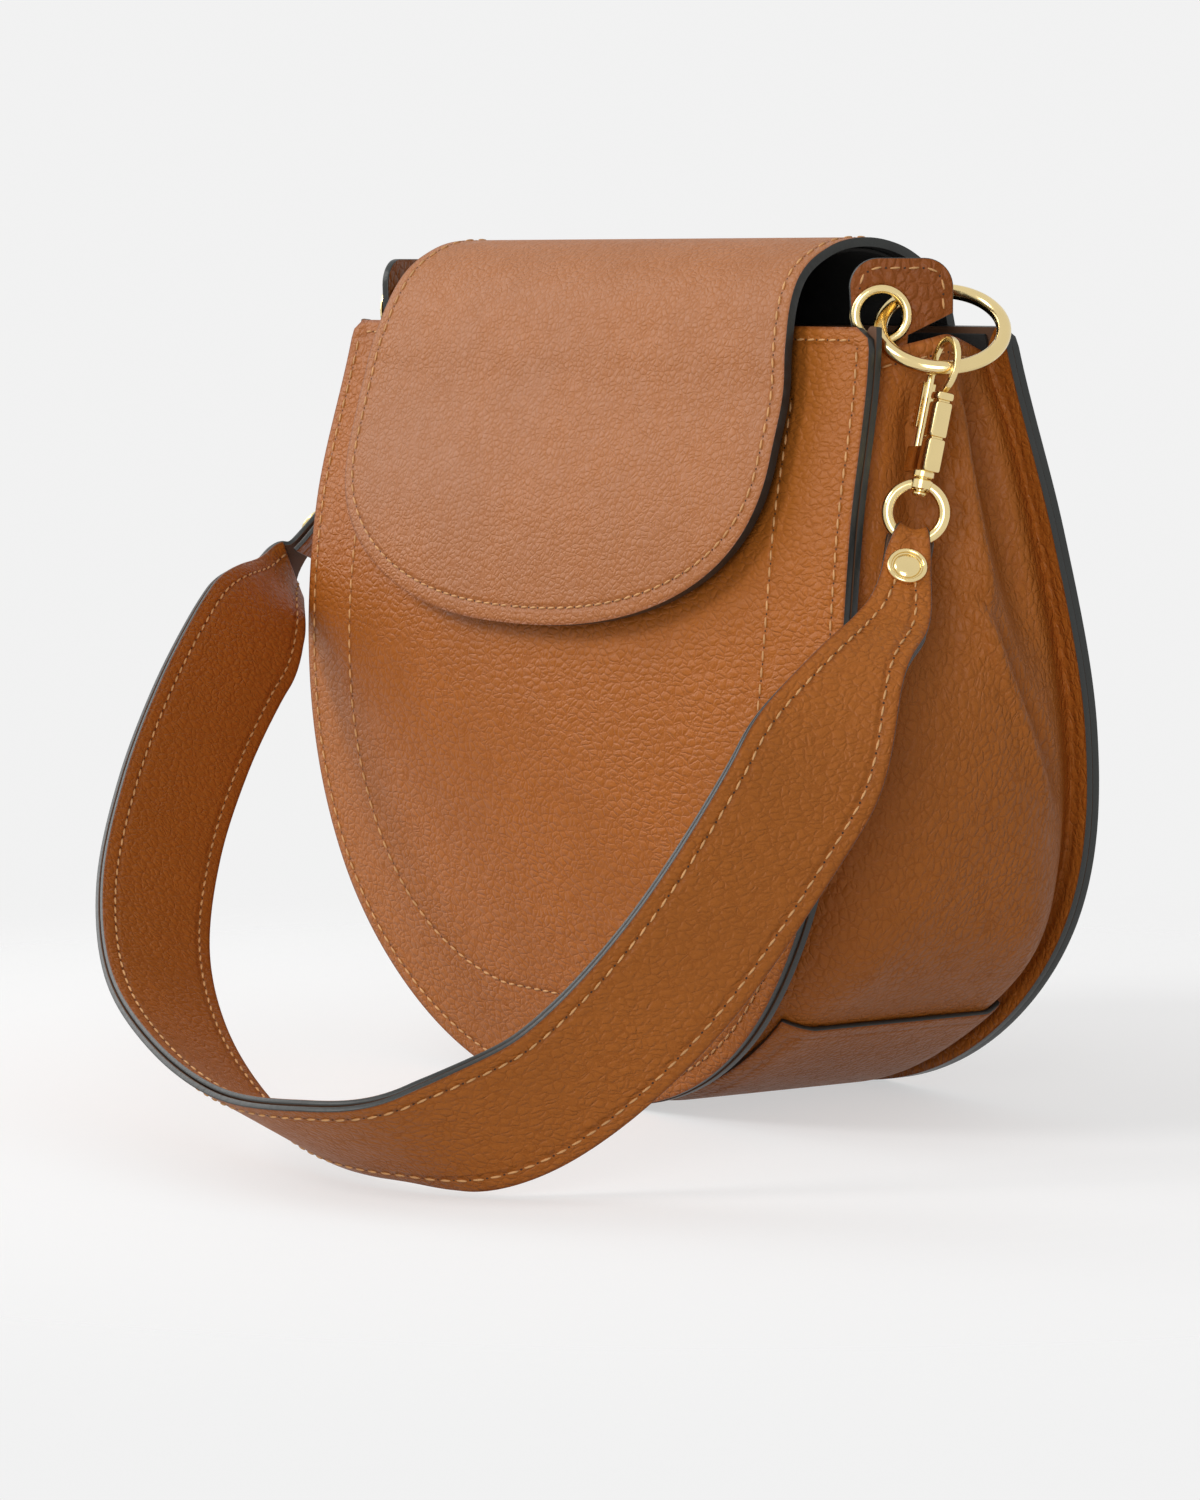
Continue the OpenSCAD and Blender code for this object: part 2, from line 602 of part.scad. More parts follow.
width_dir = [for (i = [0 : route_steps]) through(width_knots, i / route_steps)];
// Square frame at step i: along, across and outward directions
function go(i) = i == 0 ? end_dir : i == route_steps ? -mirrored_x(end_dir) : along(route, i);
function across_dir(i) = let (t = go(i), w = width_dir[i]) unit(w - (w * t) * t);
function out_dir(i) = cross(across_dir(i), go(i));
// Length from the right end, and from the nearer end
lengths = [for (i = 0, s = 0; i <= route_steps; i = i + 1,
               s = s + (i <= route_steps ? norm(route[i] - route[i - 1]) : 0)) s];
function end_distance(i) = min(lengths[i], lengths[route_steps] - lengths[i]);
// Width from the folded end over the curved shoulders to the full strap
shoulder_start = strap_w * 0.72;
shoulder_len = strap_w * 1.25;
end_swell = strap_w * 0.17;
function strap_width(d) =
    let (near = strap_end_w + end_swell * smooth(d / shoulder_start))
    lerp(near, strap_w, smooth((d - shoulder_start) / shoulder_len));
// One row of points across the strap, off from its middle line
row_shares = [-1, -0.5, 0, 0.5, 1];
function strap_row(i, off) =
    let (w = across_dir(i) * strap_width(end_distance(i)) / 2, p = route[i] + out_dir(i) * off)
    [for (s = row_shares) p + s * w];

// Rows round the eye's wire, angle a from the outward direction, and rows of the tail behind
fold_steps = 7;
fold_spread = strap_end_w / 2 / eye_r * 180 / PI;
function wrap_row(a, off) =
    [for (s = row_shares)
        let (f = s * fold_spread, ray = sin(f) * fold_across + cos(f) * fold_down)
        eye_right + eye_r * ray + (fold_r + off) * (cos(a) * fold_out - sin(a) * ray)];
function right_wrap(off) =
    [for (j = [0 : fold_steps]) wrap_row(end_swing + 180 * (1 - j / fold_steps), off)];
function left_wrap(off) =
    [for (row = reversed(right_wrap(off))) [for (p = row) mirrored_x(p)]];
tail_len = rivet_r * 2.9;
tail_steps = len([for (s = lengths) if (s < tail_len) s]);
function tail(first, step, off) =
    [for (i = [0 : tail_steps]) strap_row(first + step * i, -ply_mid - off)];
function reversed(list) = [for (i = [len(list) - 1 : -1 : 0]) list[i]];
function outer_rows(off) = concat(
    reversed(tail(0, 1, off)),
    right_wrap(off),
    [for (i = [0 : route_steps]) strap_row(i, ply_mid + off)],
    left_wrap(off),
    tail(route_steps, -1, off));

rivet_step = 1;
rivet_cap_t = rivet_r * 0.26;
post_r = rivet_r * 0.26;
// Room under the caps for the curve of the leather
cap_gap = layer_gap * 2;
function frame_angles(n) = [0, acos(n[2]), atan2(n[1], n[0])];

// Places its children at a rivet, their z axis pointing out of the strap
module at_rivet(k) {
    translate(route[k]) rotate(frame_angles(out_dir(k))) children();
}

module rivet_holes() {
    for (k = [rivet_step, route_steps - rivet_step]) at_rivet(k)
        cylinder(r = post_r + pin_gap, h = 4 * rivet_r, center = true, $fn = 32);
}

module strap_outer() {
    h = ply_t / 2;
    color(tan_leather) difference() {
        sheet(outer_rows(h), outer_rows(-h));
        rivet_holes();
    }
}

// The lining ply lies inside the outer ply and ends where the folded tails end
module strap_lining() {
    h = ply_t / 2;
    first = tail_steps + 1;
    rows = [first : route_steps - first];
    color(tan_leather) sheet([for (i = rows) strap_row(i, -ply_mid + h)],
                             [for (i = rows) strap_row(i, -ply_mid - h)]);
}

// Rivet through the folded end: domed cap outside, flat cap inside, post between
module strap_rivet(k) {
    face = ply_mid + ply_t / 2 + cap_gap;
    color(gold) at_rivet(k) rotate_extrude($fn = 48)
        polygon([[0, -face - rivet_cap_t], [rivet_r * 0.8, -face - rivet_cap_t],
                 [rivet_r * 0.8, -face], [post_r, -face],
                 [post_r, face], [rivet_r, face],
                 [rivet_r, face + rivet_cap_t * 0.6],
                 [rivet_r * 0.9, face + rivet_cap_t * 0.85],
                 [rivet_r * 0.78, face + rivet_cap_t * 0.6],
                 [rivet_r * 0.5, face + rivet_cap_t * 0.95],
                 [0, face + rivet_cap_t * 1.15]]);
}

module strap_rivet_right() { strap_rivet(rivet_step); }
module strap_rivet_left() { strap_rivet(route_steps - rivet_step); }

// Flap

// The flap's outer line from the fold at the back, over the crest, down the front:
// [y, z] built from the panels below it
fold_y = edge_back(bag_h) + 2 * layer_gap + flap_t;
flap_crest_z = bag_h + flap_rise;
function flap_front_y(z) = -edge_front(z) - flap_off - flap_t;
// Places on the arch as shares of the depth at the mouth and of the rise
arch_shares = [[1.0, 0.02], [0.97, 0.32], [0.87, 0.64], [0.70, 0.90], [0.49, 1.0],
               [0.28, 0.90], [0.10, 0.55]];
mouth_front_y = flap_front_y(bag_h);
function arch_place(share) =
    [lerp(mouth_front_y, fold_y, share[0]), bag_h + flap_rise * share[1]];
front_stops = [0.98, 0.92, 0.84, 0.77, 0.70, flap_tip_z / bag_h];
function flap_line() = concat(
    [for (s = arch_shares) arch_place(s)],
    [for (s = front_stops) [flap_front_y(s * bag_h), s * bag_h]]);
flap_steps = 30;
flap_path = [for (i = [0 : flap_steps]) through(flap_line(), i / flap_steps)];
// Half width along the flap: flares to the front, then rounds to the tip
round_z = flap_tip_z + (bag_h - flap_tip_z) * 0.58;
function flap_half(i) =
    let (z = flap_path[i][1], front = flap_path[i][0] < 0,
         flare = front ? flap_flare * smooth((flap_crest_z - z) / (flap_rise * 2)) : 0,
         w = flap_half_w + flare,
         drop = clamp01((round_z - z) / (round_z - flap_tip_z)))
    front && z < round_z
        ? w * max(pow(1 - pow(drop, 2.3), 1 / 2.3), flap_t / flap_half_w) : w;
// The flap swells with the panel below it, from the crest down
function flap_swell(share, i) =
    let (z = flap_path[i][1])
    flap_path[i][0] < 0
        ? front_belly * through(belly_shares, min(1, z / bag_h)) * (1 - share * share * 0.6)
          * smooth((flap_crest_z - z) / flap_rise) : 0;
function flap_point(i, share, depth, inset) =
    let (nrm = beside(flap_path, i), p = flap_path[i] + nrm * depth,
         x = share * max(flap_half(i) - inset, flap_t / 2))
    [x, p[0] - flap_swell(share * flap_half(i) / (flap_half_w + flap_flare), i), p[1]];
flap_cols = 10;
function flap_rows(first, last, depth, inset) =
    [for (i = [first : last]) [for (j = [0 : flap_cols])
        flap_point(i, -cos(180 * j / flap_cols), depth, inset)]];

module flap_shell() {
    color(tan_leather) sheet(flap_rows(0, flap_steps, flap_t, 0), flap_rows(0, flap_steps, 0, 0));
}

module flap_lining() {
    color(dark_lining)
        sheet(flap_rows(1, flap_steps - 1, flap_t + layer_gap + lining_t, panel_t),
              flap_rows(1, flap_steps - 1, flap_t + layer_gap, panel_t));
}

// The part of the flap that is sewn to the back panel, up to the fold
anchor_rows = 5;
anchor_gap = 2 * layer_gap;
function anchor_grid(depth) =
    [for (i = [0 : anchor_rows]) let (z = bag_h - flap_sewn * (1 - i / anchor_rows) )
        [for (j = [0 : flap_cols]) let (s = -cos(180 * j / flap_cols), x = s * flap_half_w)
            [x, back_y(x / half_w(z), z) + depth, z]]];

module flap_anchor() {
    color(tan_leather) sheet(anchor_grid(anchor_gap), anchor_grid(anchor_gap + flap_t));
}

// Magnetic stud: socket on the front panel, stud on the flap's lining
magnet_y = front_y(0, magnet_z);
magnet_slope = atan2(front_y(0, magnet_z + panel_t) - magnet_y, panel_t);

module at_magnet(off) {
    translate([0, magnet_y, magnet_z]) rotate([-magnet_slope, 0, 0])
        translate([0, -off, 0]) rotate([90, 0, 0]) children();
}

module magnet_socket() {
    color(gold) at_magnet(layer_gap) rotate_extrude($fn = 48)
        polygon([[0, 0], [magnet_r, 0], [magnet_r, magnet_t * 0.4], [magnet_r * 0.85, magnet_t * 0.6],
                 [0, magnet_t * 0.6]]);
}

module magnet_stud() {
    color(gold) at_magnet(layer_gap * 2 + magnet_t * 0.6) rotate_extrude($fn = 48)
        polygon([[0, 0], [magnet_r * 0.85, 0], [magnet_r, magnet_t * 0.3], [magnet_r, magnet_t * 0.5],
                 [0, magnet_t * 0.5]]);
}

front_panel();
back_panel();
front_lining();
back_lining();
inner_pocket();
side_gusset_right();
side_gusset_left();
base_piece();
ring_tab_right();
ring_tab_left();
eyelet_right();
eyelet_left();
eyelet_washer_right();
eyelet_washer_left();
o_ring_right();
o_ring_left();
flap_anchor();
flap_shell();
flap_lining();
magnet_socket();
magnet_stud();
hook_body_right();
hook_body_left();
hook_bolt_right();
hook_bolt_left();
swivel_eye_right();
swivel_eye_left();
strap_outer();
strap_lining();
strap_rivet_right();
strap_rivet_left();
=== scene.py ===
import math

import bmesh
import bpy
import numpy as np
from mathutils import Matrix, Vector


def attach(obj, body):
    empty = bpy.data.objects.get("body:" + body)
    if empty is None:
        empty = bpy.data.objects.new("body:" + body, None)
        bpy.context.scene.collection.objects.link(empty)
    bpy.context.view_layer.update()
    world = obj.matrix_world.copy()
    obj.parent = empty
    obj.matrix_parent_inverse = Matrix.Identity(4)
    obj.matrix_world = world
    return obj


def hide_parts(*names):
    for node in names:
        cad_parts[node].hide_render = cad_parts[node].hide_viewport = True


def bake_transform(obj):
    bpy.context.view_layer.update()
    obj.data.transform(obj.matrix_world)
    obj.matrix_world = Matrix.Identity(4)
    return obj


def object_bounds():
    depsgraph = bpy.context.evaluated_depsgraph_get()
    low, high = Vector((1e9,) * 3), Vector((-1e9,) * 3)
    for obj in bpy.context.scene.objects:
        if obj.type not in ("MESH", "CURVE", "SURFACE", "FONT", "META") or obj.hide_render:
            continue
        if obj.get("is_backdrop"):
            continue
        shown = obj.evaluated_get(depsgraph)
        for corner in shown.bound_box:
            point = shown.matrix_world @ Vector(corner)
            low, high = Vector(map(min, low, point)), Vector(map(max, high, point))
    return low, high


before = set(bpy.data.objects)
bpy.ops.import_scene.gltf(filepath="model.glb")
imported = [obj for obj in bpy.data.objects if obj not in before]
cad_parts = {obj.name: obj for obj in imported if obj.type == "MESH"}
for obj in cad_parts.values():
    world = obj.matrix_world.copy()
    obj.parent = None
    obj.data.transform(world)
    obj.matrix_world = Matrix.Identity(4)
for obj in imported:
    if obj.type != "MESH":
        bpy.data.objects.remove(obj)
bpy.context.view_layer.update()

# Front and back panels
# Two firm pieces of pebbled leather cut to one saddle outline, about 2 mm thick, cut edges painted dark.
# Each is sewn 4.6 mm from its edge to the gusset's flange behind it. Lengths here are in millimetres.
bag_h, waist_z, waist_half, mouth_half = 212.0, 140.0, 131.5, 125.5
front_reach, back_reach, front_swell, back_swell, mouth_corner = 50, 45, 9, 6, 5
panel_t, seam_in = 2.0, 4.6
leather_brown = (0.42, 0.126, 0.016)
# leather_deep is the darker tone used for painted shade in creases and stitch dents, and for the cut edge's
# margin.
leather_deep = (0.235, 0.058, 0.006)


def smooth(t):
    t = np.clip(t, 0, 1)
    return t * t * (3 - 2 * t)


def through(knots, t):
    """Smooth curve through equally spaced values or points, t from 0 to 1."""
    v = np.asarray(knots, float)
    n = len(v) - 1
    s = np.clip(np.asarray(t, float), 0, 1) * n
    i = np.minimum(n - 1, np.floor(s).astype(int))
    f = (s - i).reshape(s.shape + (1,) * (v.ndim - 1))
    a, b, c, d = v[np.maximum(i - 1, 0)], v[i], v[i + 1], v[np.minimum(i + 2, n)]
    return b + (c - a) * f / 2 + (2 * a - 5 * b + 4 * c - d) * f**2 / 2 + (3 * b - a - 3 * c + d) * f**3 / 2


def unit(v):
    v = np.asarray(v, float)
    return v / np.maximum(np.linalg.norm(v, axis=-1, keepdims=True), 1e-9)


def half_width(z):
    """Half width of both panels at height z."""
    z = np.asarray(z, float)
    sunk = waist_z + bag_h * 0.006
    low = waist_half * np.maximum(0, 1 - (np.abs(waist_z - z) / sunk)**2.3)**(1 / 2.3)
    high = waist_half - (waist_half - mouth_half) * np.maximum(0, (z - waist_z) / (bag_h - waist_z))**1.8
    return np.where(z < waist_z, low, high)


def front_edge(z):
    return front_reach * through([0.90, 0.985, 1.0, 0.93, 0.73], np.asarray(z) / bag_h)


def back_edge(z):
    return back_reach * through([0.98, 1.0, 0.80, 0.51, 0.235], np.asarray(z) / bag_h)


def belly(x, z):
    across = np.clip(x / np.maximum(half_width(z), 6), -1, 1)
    return (1 - across**2) * through([0, 0.75, 1.0, 0.8, 0.35], np.asarray(z) / bag_h)


def front_face(x, z):
    return -front_edge(z) - front_swell * belly(x, z)


def back_face(x, z):
    return back_edge(z) + back_swell * belly(x, z)


def outline():
    """The panels' outline in the XZ plane, from the mouth's left corner round the base to its right one."""
    start = bag_h - mouth_corner
    low = [(half_width(z), z) for z in waist_z * (1 - np.sin(np.linspace(0, math.pi / 2, 90)))]
    high = [(half_width(z), z) for z in np.linspace(start, waist_z, 30)[:-1]]
    middle = half_width(start) - mouth_corner
    corner = [(middle + mouth_corner * math.cos(t), start + mouth_corner * math.sin(t))
              for t in np.linspace(math.pi / 2, 0, 8)[:-1]]
    right = np.array(corner + high + low)
    return np.concatenate([right, right[::-1] * [-1, 1]])[::-1]


def nearest(points, line):
    """Distance from each point to a polyline, all in one plane."""
    a, b = line[:-1], line[1:]
    ab = b - a
    out = np.empty(len(points))
    for k in range(0, len(points), 2000):
        p = points[k:k + 2000, None]
        t = np.clip(((p - a) * ab).sum(2) / np.maximum((ab * ab).sum(1), 1e-9), 0, 1)
        out[k:k + 2000] = np.linalg.norm(p - (a + t[..., None] * ab), axis=2).min(1)
    return out


def resample(points, step):
    p = np.asarray(points, float)
    length = np.r_[0, np.cumsum(np.linalg.norm(np.diff(p, axis=0), axis=1))]
    at = np.linspace(0, length[-1], max(2, int(round(length[-1] / step)) + 1))
    return np.stack([np.interp(at, length, p[:, k]) for k in range(p.shape[1])], 1)


def inset(line, far):
    """A plane outline moved inwards by far, with what would cross itself taken out."""
    line = resample(line, 1.5)
    t = unit(np.gradient(line, axis=0))
    inner = line + np.stack([-t[:, 1], t[:, 0]], 1) * far
    return inner[nearest(inner, line) > abs(far) * 0.985]


def into_object(name, bm, materials, body):
    """Turns a bmesh in millimetres into an object in metres; body None leaves it unattached."""
    bmesh.ops.scale(bm, vec=(0.001, 0.001, 0.001), verts=bm.verts)
    mesh = bpy.data.meshes.new(name)
    bm.to_mesh(mesh)
    bm.free()
    for material in materials:
        mesh.materials.append(material)
    piece = bpy.data.objects.new(name, mesh)
    bpy.context.scene.collection.objects.link(piece)
    if body:
        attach(piece, body)
    return piece


def leather_sheet(name, table, thick, materials, body, outwards, edge=None, seam=None, side=-1,
                  rim=0.5):
    """A sheet laid through a table of points, with face, back and rim materials and a rounded rim."""
    rows, cols = table.shape[:2]
    bm = bmesh.new()
    bmesh.ops.create_grid(bm, x_segments=cols - 1, y_segments=rows - 1, size=1.0)
    for v, p in zip(bm.verts, table.reshape(-1, 3)):
        v.co = p
    for f in bm.faces:
        f.smooth = True
    bm.normal_update()
    if sum((f.normal * f.calc_area() for f in bm.faces), Vector()).dot(Vector(outwards)) < 0:
        bmesh.ops.reverse_faces(bm, faces=bm.faces)
    piece = into_object(name, bm, materials, body)
    for key, far in (("edge_mm", edge), ("seam_mm", seam)):
        values = np.full(rows * cols, 50.0) if far is None else np.asarray(far).reshape(-1)
        layer = piece.data.attributes.new(key, "FLOAT", "POINT")
        layer.data.foreach_set("value", values.astype(np.float32))
    solid = piece.modifiers.new("thickness", "SOLIDIFY")
    solid.thickness = thick / 1000
    solid.offset = side
    solid.use_even_offset = False
    solid.material_offset = 1
    solid.material_offset_rim = 2
    bevel = piece.modifiers.new("rounded edge", "BEVEL")
    bevel.width = rim / 1000
    bevel.segments = 3
    bevel.limit_method = "ANGLE"
    bevel.angle_limit = math.radians(55)
    return piece


def node_material(name):
    material = bpy.data.materials.new(name)
    material.use_nodes = True
    tree = material.node_tree
    return material, tree, tree.nodes["Principled BSDF"]


def number(tree, kind, a, b=None, c=None):
    n = tree.nodes.new("ShaderNodeMath")
    n.operation = kind
    for socket, v in zip(n.inputs, (a, b, c)):
        if isinstance(v, (int, float)):
            socket.default_value = v
        elif v is not None:
            tree.links.new(v, socket)
    return n.outputs[0]


def blend_colour(tree, factor, a, b):
    n = tree.nodes.new("ShaderNodeMix")
    n.data_type = "RGBA"
    for i, v in ((0, factor), (6, a), (7, b)):
        if isinstance(v, (int, float)):
            n.inputs[i].default_value = v
        elif isinstance(v, tuple):
            n.inputs[i].default_value = (*v, 1)
        else:
            tree.links.new(v, n.inputs[i])
    return n.outputs[2]


def ramp(tree, value, low, high, out_low=0.0, out_high=1.0):
    n = tree.nodes.new("ShaderNodeMapRange")
    n.interpolation_type = "SMOOTHSTEP"
    tree.links.new(value, n.inputs["Value"])
    for key, v in (("From Min", low), ("From Max", high), ("To Min", out_low), ("To Max", out_high)):
        n.inputs[key].default_value = v
    return n.outputs["Result"]


def noise(tree, vector, scale, detail=3.0, rough=0.5):
    n = tree.nodes.new("ShaderNodeTexNoise")
    n.inputs["Scale"].default_value = scale
    n.inputs["Detail"].default_value = detail
    n.inputs["Roughness"].default_value = rough
    tree.links.new(vector, n.inputs["Vector"])
    return n


def attribute(tree, name):
    n = tree.nodes.new("ShaderNodeAttribute")
    n.attribute_name = name
    return n.outputs["Fac"]


def moved(tree, vector, by, amount):
    """A vector pushed about by a noise, so that cells and creases lose their straight sides."""
    n = tree.nodes.new("ShaderNodeVectorMath")
    n.operation = "MULTIPLY_ADD"
    tree.links.new(by, n.inputs[0])
    n.inputs[1].default_value = (amount, amount, amount)
    tree.links.new(vector, n.inputs[2])
    return n.outputs[0]


def pebbled_leather(name, colour, deep, pebble=2.2, depth=1.0, gloss=0.42, turn=(0, 0, 0), pull=(1, 1, 1),
                    shine=0.25):
    """Milled leather: domes of about pebble mm parted by creases, turned and pulled along the hide's stretch,
    with pores and slow mottling; creases darkened as painted shade, a darker margin at the cut edge, and a
    dent where a row of stitches is pulled down, darkened as painted shade."""
    material, tree, bsdf = node_material(name)
    spot = tree.nodes.new("ShaderNodeTexCoord").outputs["Object"]
    bent = moved(tree, spot, noise(tree, spot, 130, 2).outputs["Color"], 0.0030)
    bent = moved(tree, bent, noise(tree, spot, 620, 2).outputs["Color"], 0.0009)
    mapping = tree.nodes.new("ShaderNodeMapping")
    mapping.inputs["Rotation"].default_value = [math.radians(a) for a in turn]
    mapping.inputs["Scale"].default_value = pull
    tree.links.new(bent, mapping.inputs["Vector"])
    grain = mapping.outputs[0]
    cells = []
    for feature, scale in (("SMOOTH_F1", 1000 / pebble), ("DISTANCE_TO_EDGE", 1000 / pebble),
                           ("DISTANCE_TO_EDGE", 1900 / pebble)):
        n = tree.nodes.new("ShaderNodeTexVoronoi")
        n.feature = feature
        n.inputs["Scale"].default_value = scale
        if feature == "SMOOTH_F1":
            n.inputs["Smoothness"].default_value = 0.8
        tree.links.new(grain, n.inputs["Vector"])
        cells.append(n.outputs["Distance"])
    slow = noise(tree, spot, 26, 3).outputs["Fac"]
    patchy = noise(tree, spot, 210, 2).outputs["Fac"]
    pores = noise(tree, spot, 2400, 2).outputs["Fac"]
    swell = ramp(tree, cells[0], 0.05, 0.75, 1.0, 0.0)
    dome = ramp(tree, cells[1], 0.0, 0.22)
    crease = ramp(tree, cells[1], 0.0, 0.10)
    small = ramp(tree, cells[2], 0.0, 0.30)
    open_crease = number(tree, "MULTIPLY", ramp(tree, patchy, 0.36, 0.62, 0.25, 1.0),
                         number(tree, "SUBTRACT", 1.0, crease))
    edge = attribute(tree, "edge_mm")
    seam = attribute(tree, "seam_mm")
    by_edge = ramp(tree, number(tree, "ABSOLUTE", number(tree, "SUBTRACT", edge, seam_in)), 0, 1.5)
    by_seam = ramp(tree, number(tree, "ABSOLUTE", seam), 0, 1.5)
    flat = number(tree, "MULTIPLY", by_edge, by_seam)
    h = number(tree, "MULTIPLY", dome, 0.55)
    h = number(tree, "MULTIPLY_ADD", swell, 0.60, h)
    h = number(tree, "MULTIPLY_ADD", small, 0.16, h)
    h = number(tree, "MULTIPLY", h, ramp(tree, slow, 0.3, 0.7, 0.65, 1.0))
    h = number(tree, "MULTIPLY_ADD", pores, 0.07, h)
    h = number(tree, "MULTIPLY", h, depth)
    h = number(tree, "MULTIPLY_ADD", flat, 1.0, h)
    h = number(tree, "MULTIPLY_ADD", ramp(tree, edge, 0, 1.8), 0.7, h)
    bump = tree.nodes.new("ShaderNodeBump")
    bump.inputs["Distance"].default_value = 0.00038
    bump.inputs["Strength"].default_value = 0.85
    tree.links.new(h, bump.inputs["Height"])
    tree.links.new(bump.outputs[0], bsdf.inputs["Normal"])
    base = blend_colour(tree, ramp(tree, slow, 0.3, 0.7), tuple(0.94 * c for c in colour),
                        tuple(1.05 * c for c in colour))
    # Creases darkened towards the deep colour: painted shade in the grain's creases.
    base = blend_colour(tree, number(tree, "MULTIPLY", open_crease, 0.34 * depth), base, deep)
    # Along each stitch line the dent is darkened: painted shade in the groove.
    groove_shade = number(tree, "SUBTRACT", 1.0, flat)
    base = blend_colour(tree, number(tree, "MULTIPLY", groove_shade, 0.22), base, deep)
    # Darker within about a millimetre of the cut edge.
    base = blend_colour(tree, ramp(tree, edge, 0.2, 1.1, 0.75, 0.0), base, deep)
    tree.links.new(base, bsdf.inputs["Base Color"])
    rough = number(tree, "MULTIPLY_ADD", open_crease, 0.16, gloss - 0.02)
    rough = number(tree, "MULTIPLY_ADD", patchy, 0.10, rough)
    tree.links.new(rough, bsdf.inputs["Roughness"])
    bsdf.inputs["Specular IOR Level"].default_value = shine
    return material


def even_finish(name, colour, rough, scale=900, bump=0.00006, metal=0.0, mottle=0.12):
    """A surface without grain, with fine unevenness: paint, lining cloth, thread or polished metal."""
    material, tree, bsdf = node_material(name)
    spot = tree.nodes.new("ShaderNodeTexCoord").outputs["Object"]
    fine = noise(tree, spot, scale, 3).outputs["Fac"]
    slow = noise(tree, spot, 70, 3).outputs["Fac"]
    base = blend_colour(tree, ramp(tree, slow, 0.3, 0.7), tuple((1 - mottle) * c for c in colour),
                        tuple(min(1, (1 + mottle) * c) for c in colour))
    tree.links.new(base, bsdf.inputs["Base Color"])
    tree.links.new(number(tree, "MULTIPLY_ADD", fine, 0.12, rough - 0.06), bsdf.inputs["Roughness"])
    b = tree.nodes.new("ShaderNodeBump")
    b.inputs["Distance"].default_value = bump
    tree.links.new(fine, b.inputs["Height"])
    tree.links.new(b.outputs[0], bsdf.inputs["Normal"])
    bsdf.inputs["Metallic"].default_value = metal
    return material


panel_leather = pebbled_leather("panel_leather", leather_brown, leather_deep, 2.1, 1.0, 0.44,
                                turn=(0, 25, 0), pull=(0.62, 1, 1.2))
edge_paint = even_finish("edge_paint", (0.016, 0.018, 0.016), 0.42, 800, 0.00010)
leather_back = even_finish("leather_back", (0.115, 0.050, 0.022), 0.8)


def panel_table(front, rows=135, cols=151):
    v = np.linspace(0, 1, rows)[:, None]
    u = np.linspace(-1, 1, cols)[None, :]
    z = bag_h * (0.3 * v + 0.7 * v * v)
    up = np.maximum(0, z - bag_h + mouth_corner)
    corner = mouth_corner - np.sqrt(np.maximum(0, mouth_corner**2 - up**2))
    x = (0.65 * u + 0.35 * np.sin(math.pi / 2 * u)) * (half_width(z) - corner)
    z = z + 0 * x
    return np.stack([x, front_face(x, z) if front else back_face(x, z), z], 2)


def on_panel(line, front):
    """Places and normals on a panel for a line in the XZ plane."""
    x, z = line[:, 0], line[:, 1]
    face = front_face if front else back_face
    e, s = 0.5, -1 if front else 1
    dx = (face(x + e, z) - face(x - e, z)) / (2 * e)
    dz = (face(x, z + e) - face(x, z - e)) / (2 * e)
    return np.stack([x, face(x, z), z], 1), unit(np.stack([-dx * s, np.ones_like(x) * s, -dz * s], 1))


pocket_in = 29.0
pocket_seam = inset(outline(), pocket_in)
pocket_seam = pocket_seam[pocket_seam[:, 1] < bag_h - 8]
for side in ("front", "back"):
    table = panel_table(side == "front")
    flat_spots = table.reshape(-1, 3)[:, [0, 2]]
    edge = np.minimum(nearest(flat_spots, outline()), np.maximum(bag_h - flat_spots[:, 1], 0))
    seam = nearest(flat_spots, pocket_seam) if side == "front" else None
    piece = leather_sheet(side + "_panel_leather", table, panel_t,
                          [panel_leather, leather_back, edge_paint], "bag",
                          (0, -1 if side == "front" else 1, 0), edge, seam)
    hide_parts(side + "_panel")

# Stitching of the panels
# Orange-tan thread, one stitch every 4.3 mm, round each outline, along each mouth, and through the front
# panel where the slip pocket behind it is sewn on. Each stitch lies between two needle holes, each drawn as a
# dark dot of painted shade.
thread = even_finish("thread", (0.66, 0.35, 0.135), 0.6, 3000, 0.00005)
# Dark dots at the needle holes: painted shade in the holes.
needle_hole_shade = even_finish("needle_hole_shade", (0.05, 0.018, 0.006), 0.8)
stitch_pitch, stitch_length, thread_w, thread_lift = 4.3, 3.1, 0.66, 0.10
hole_size, hole_lift = (0.34, 0.30, 0.05), 0.02


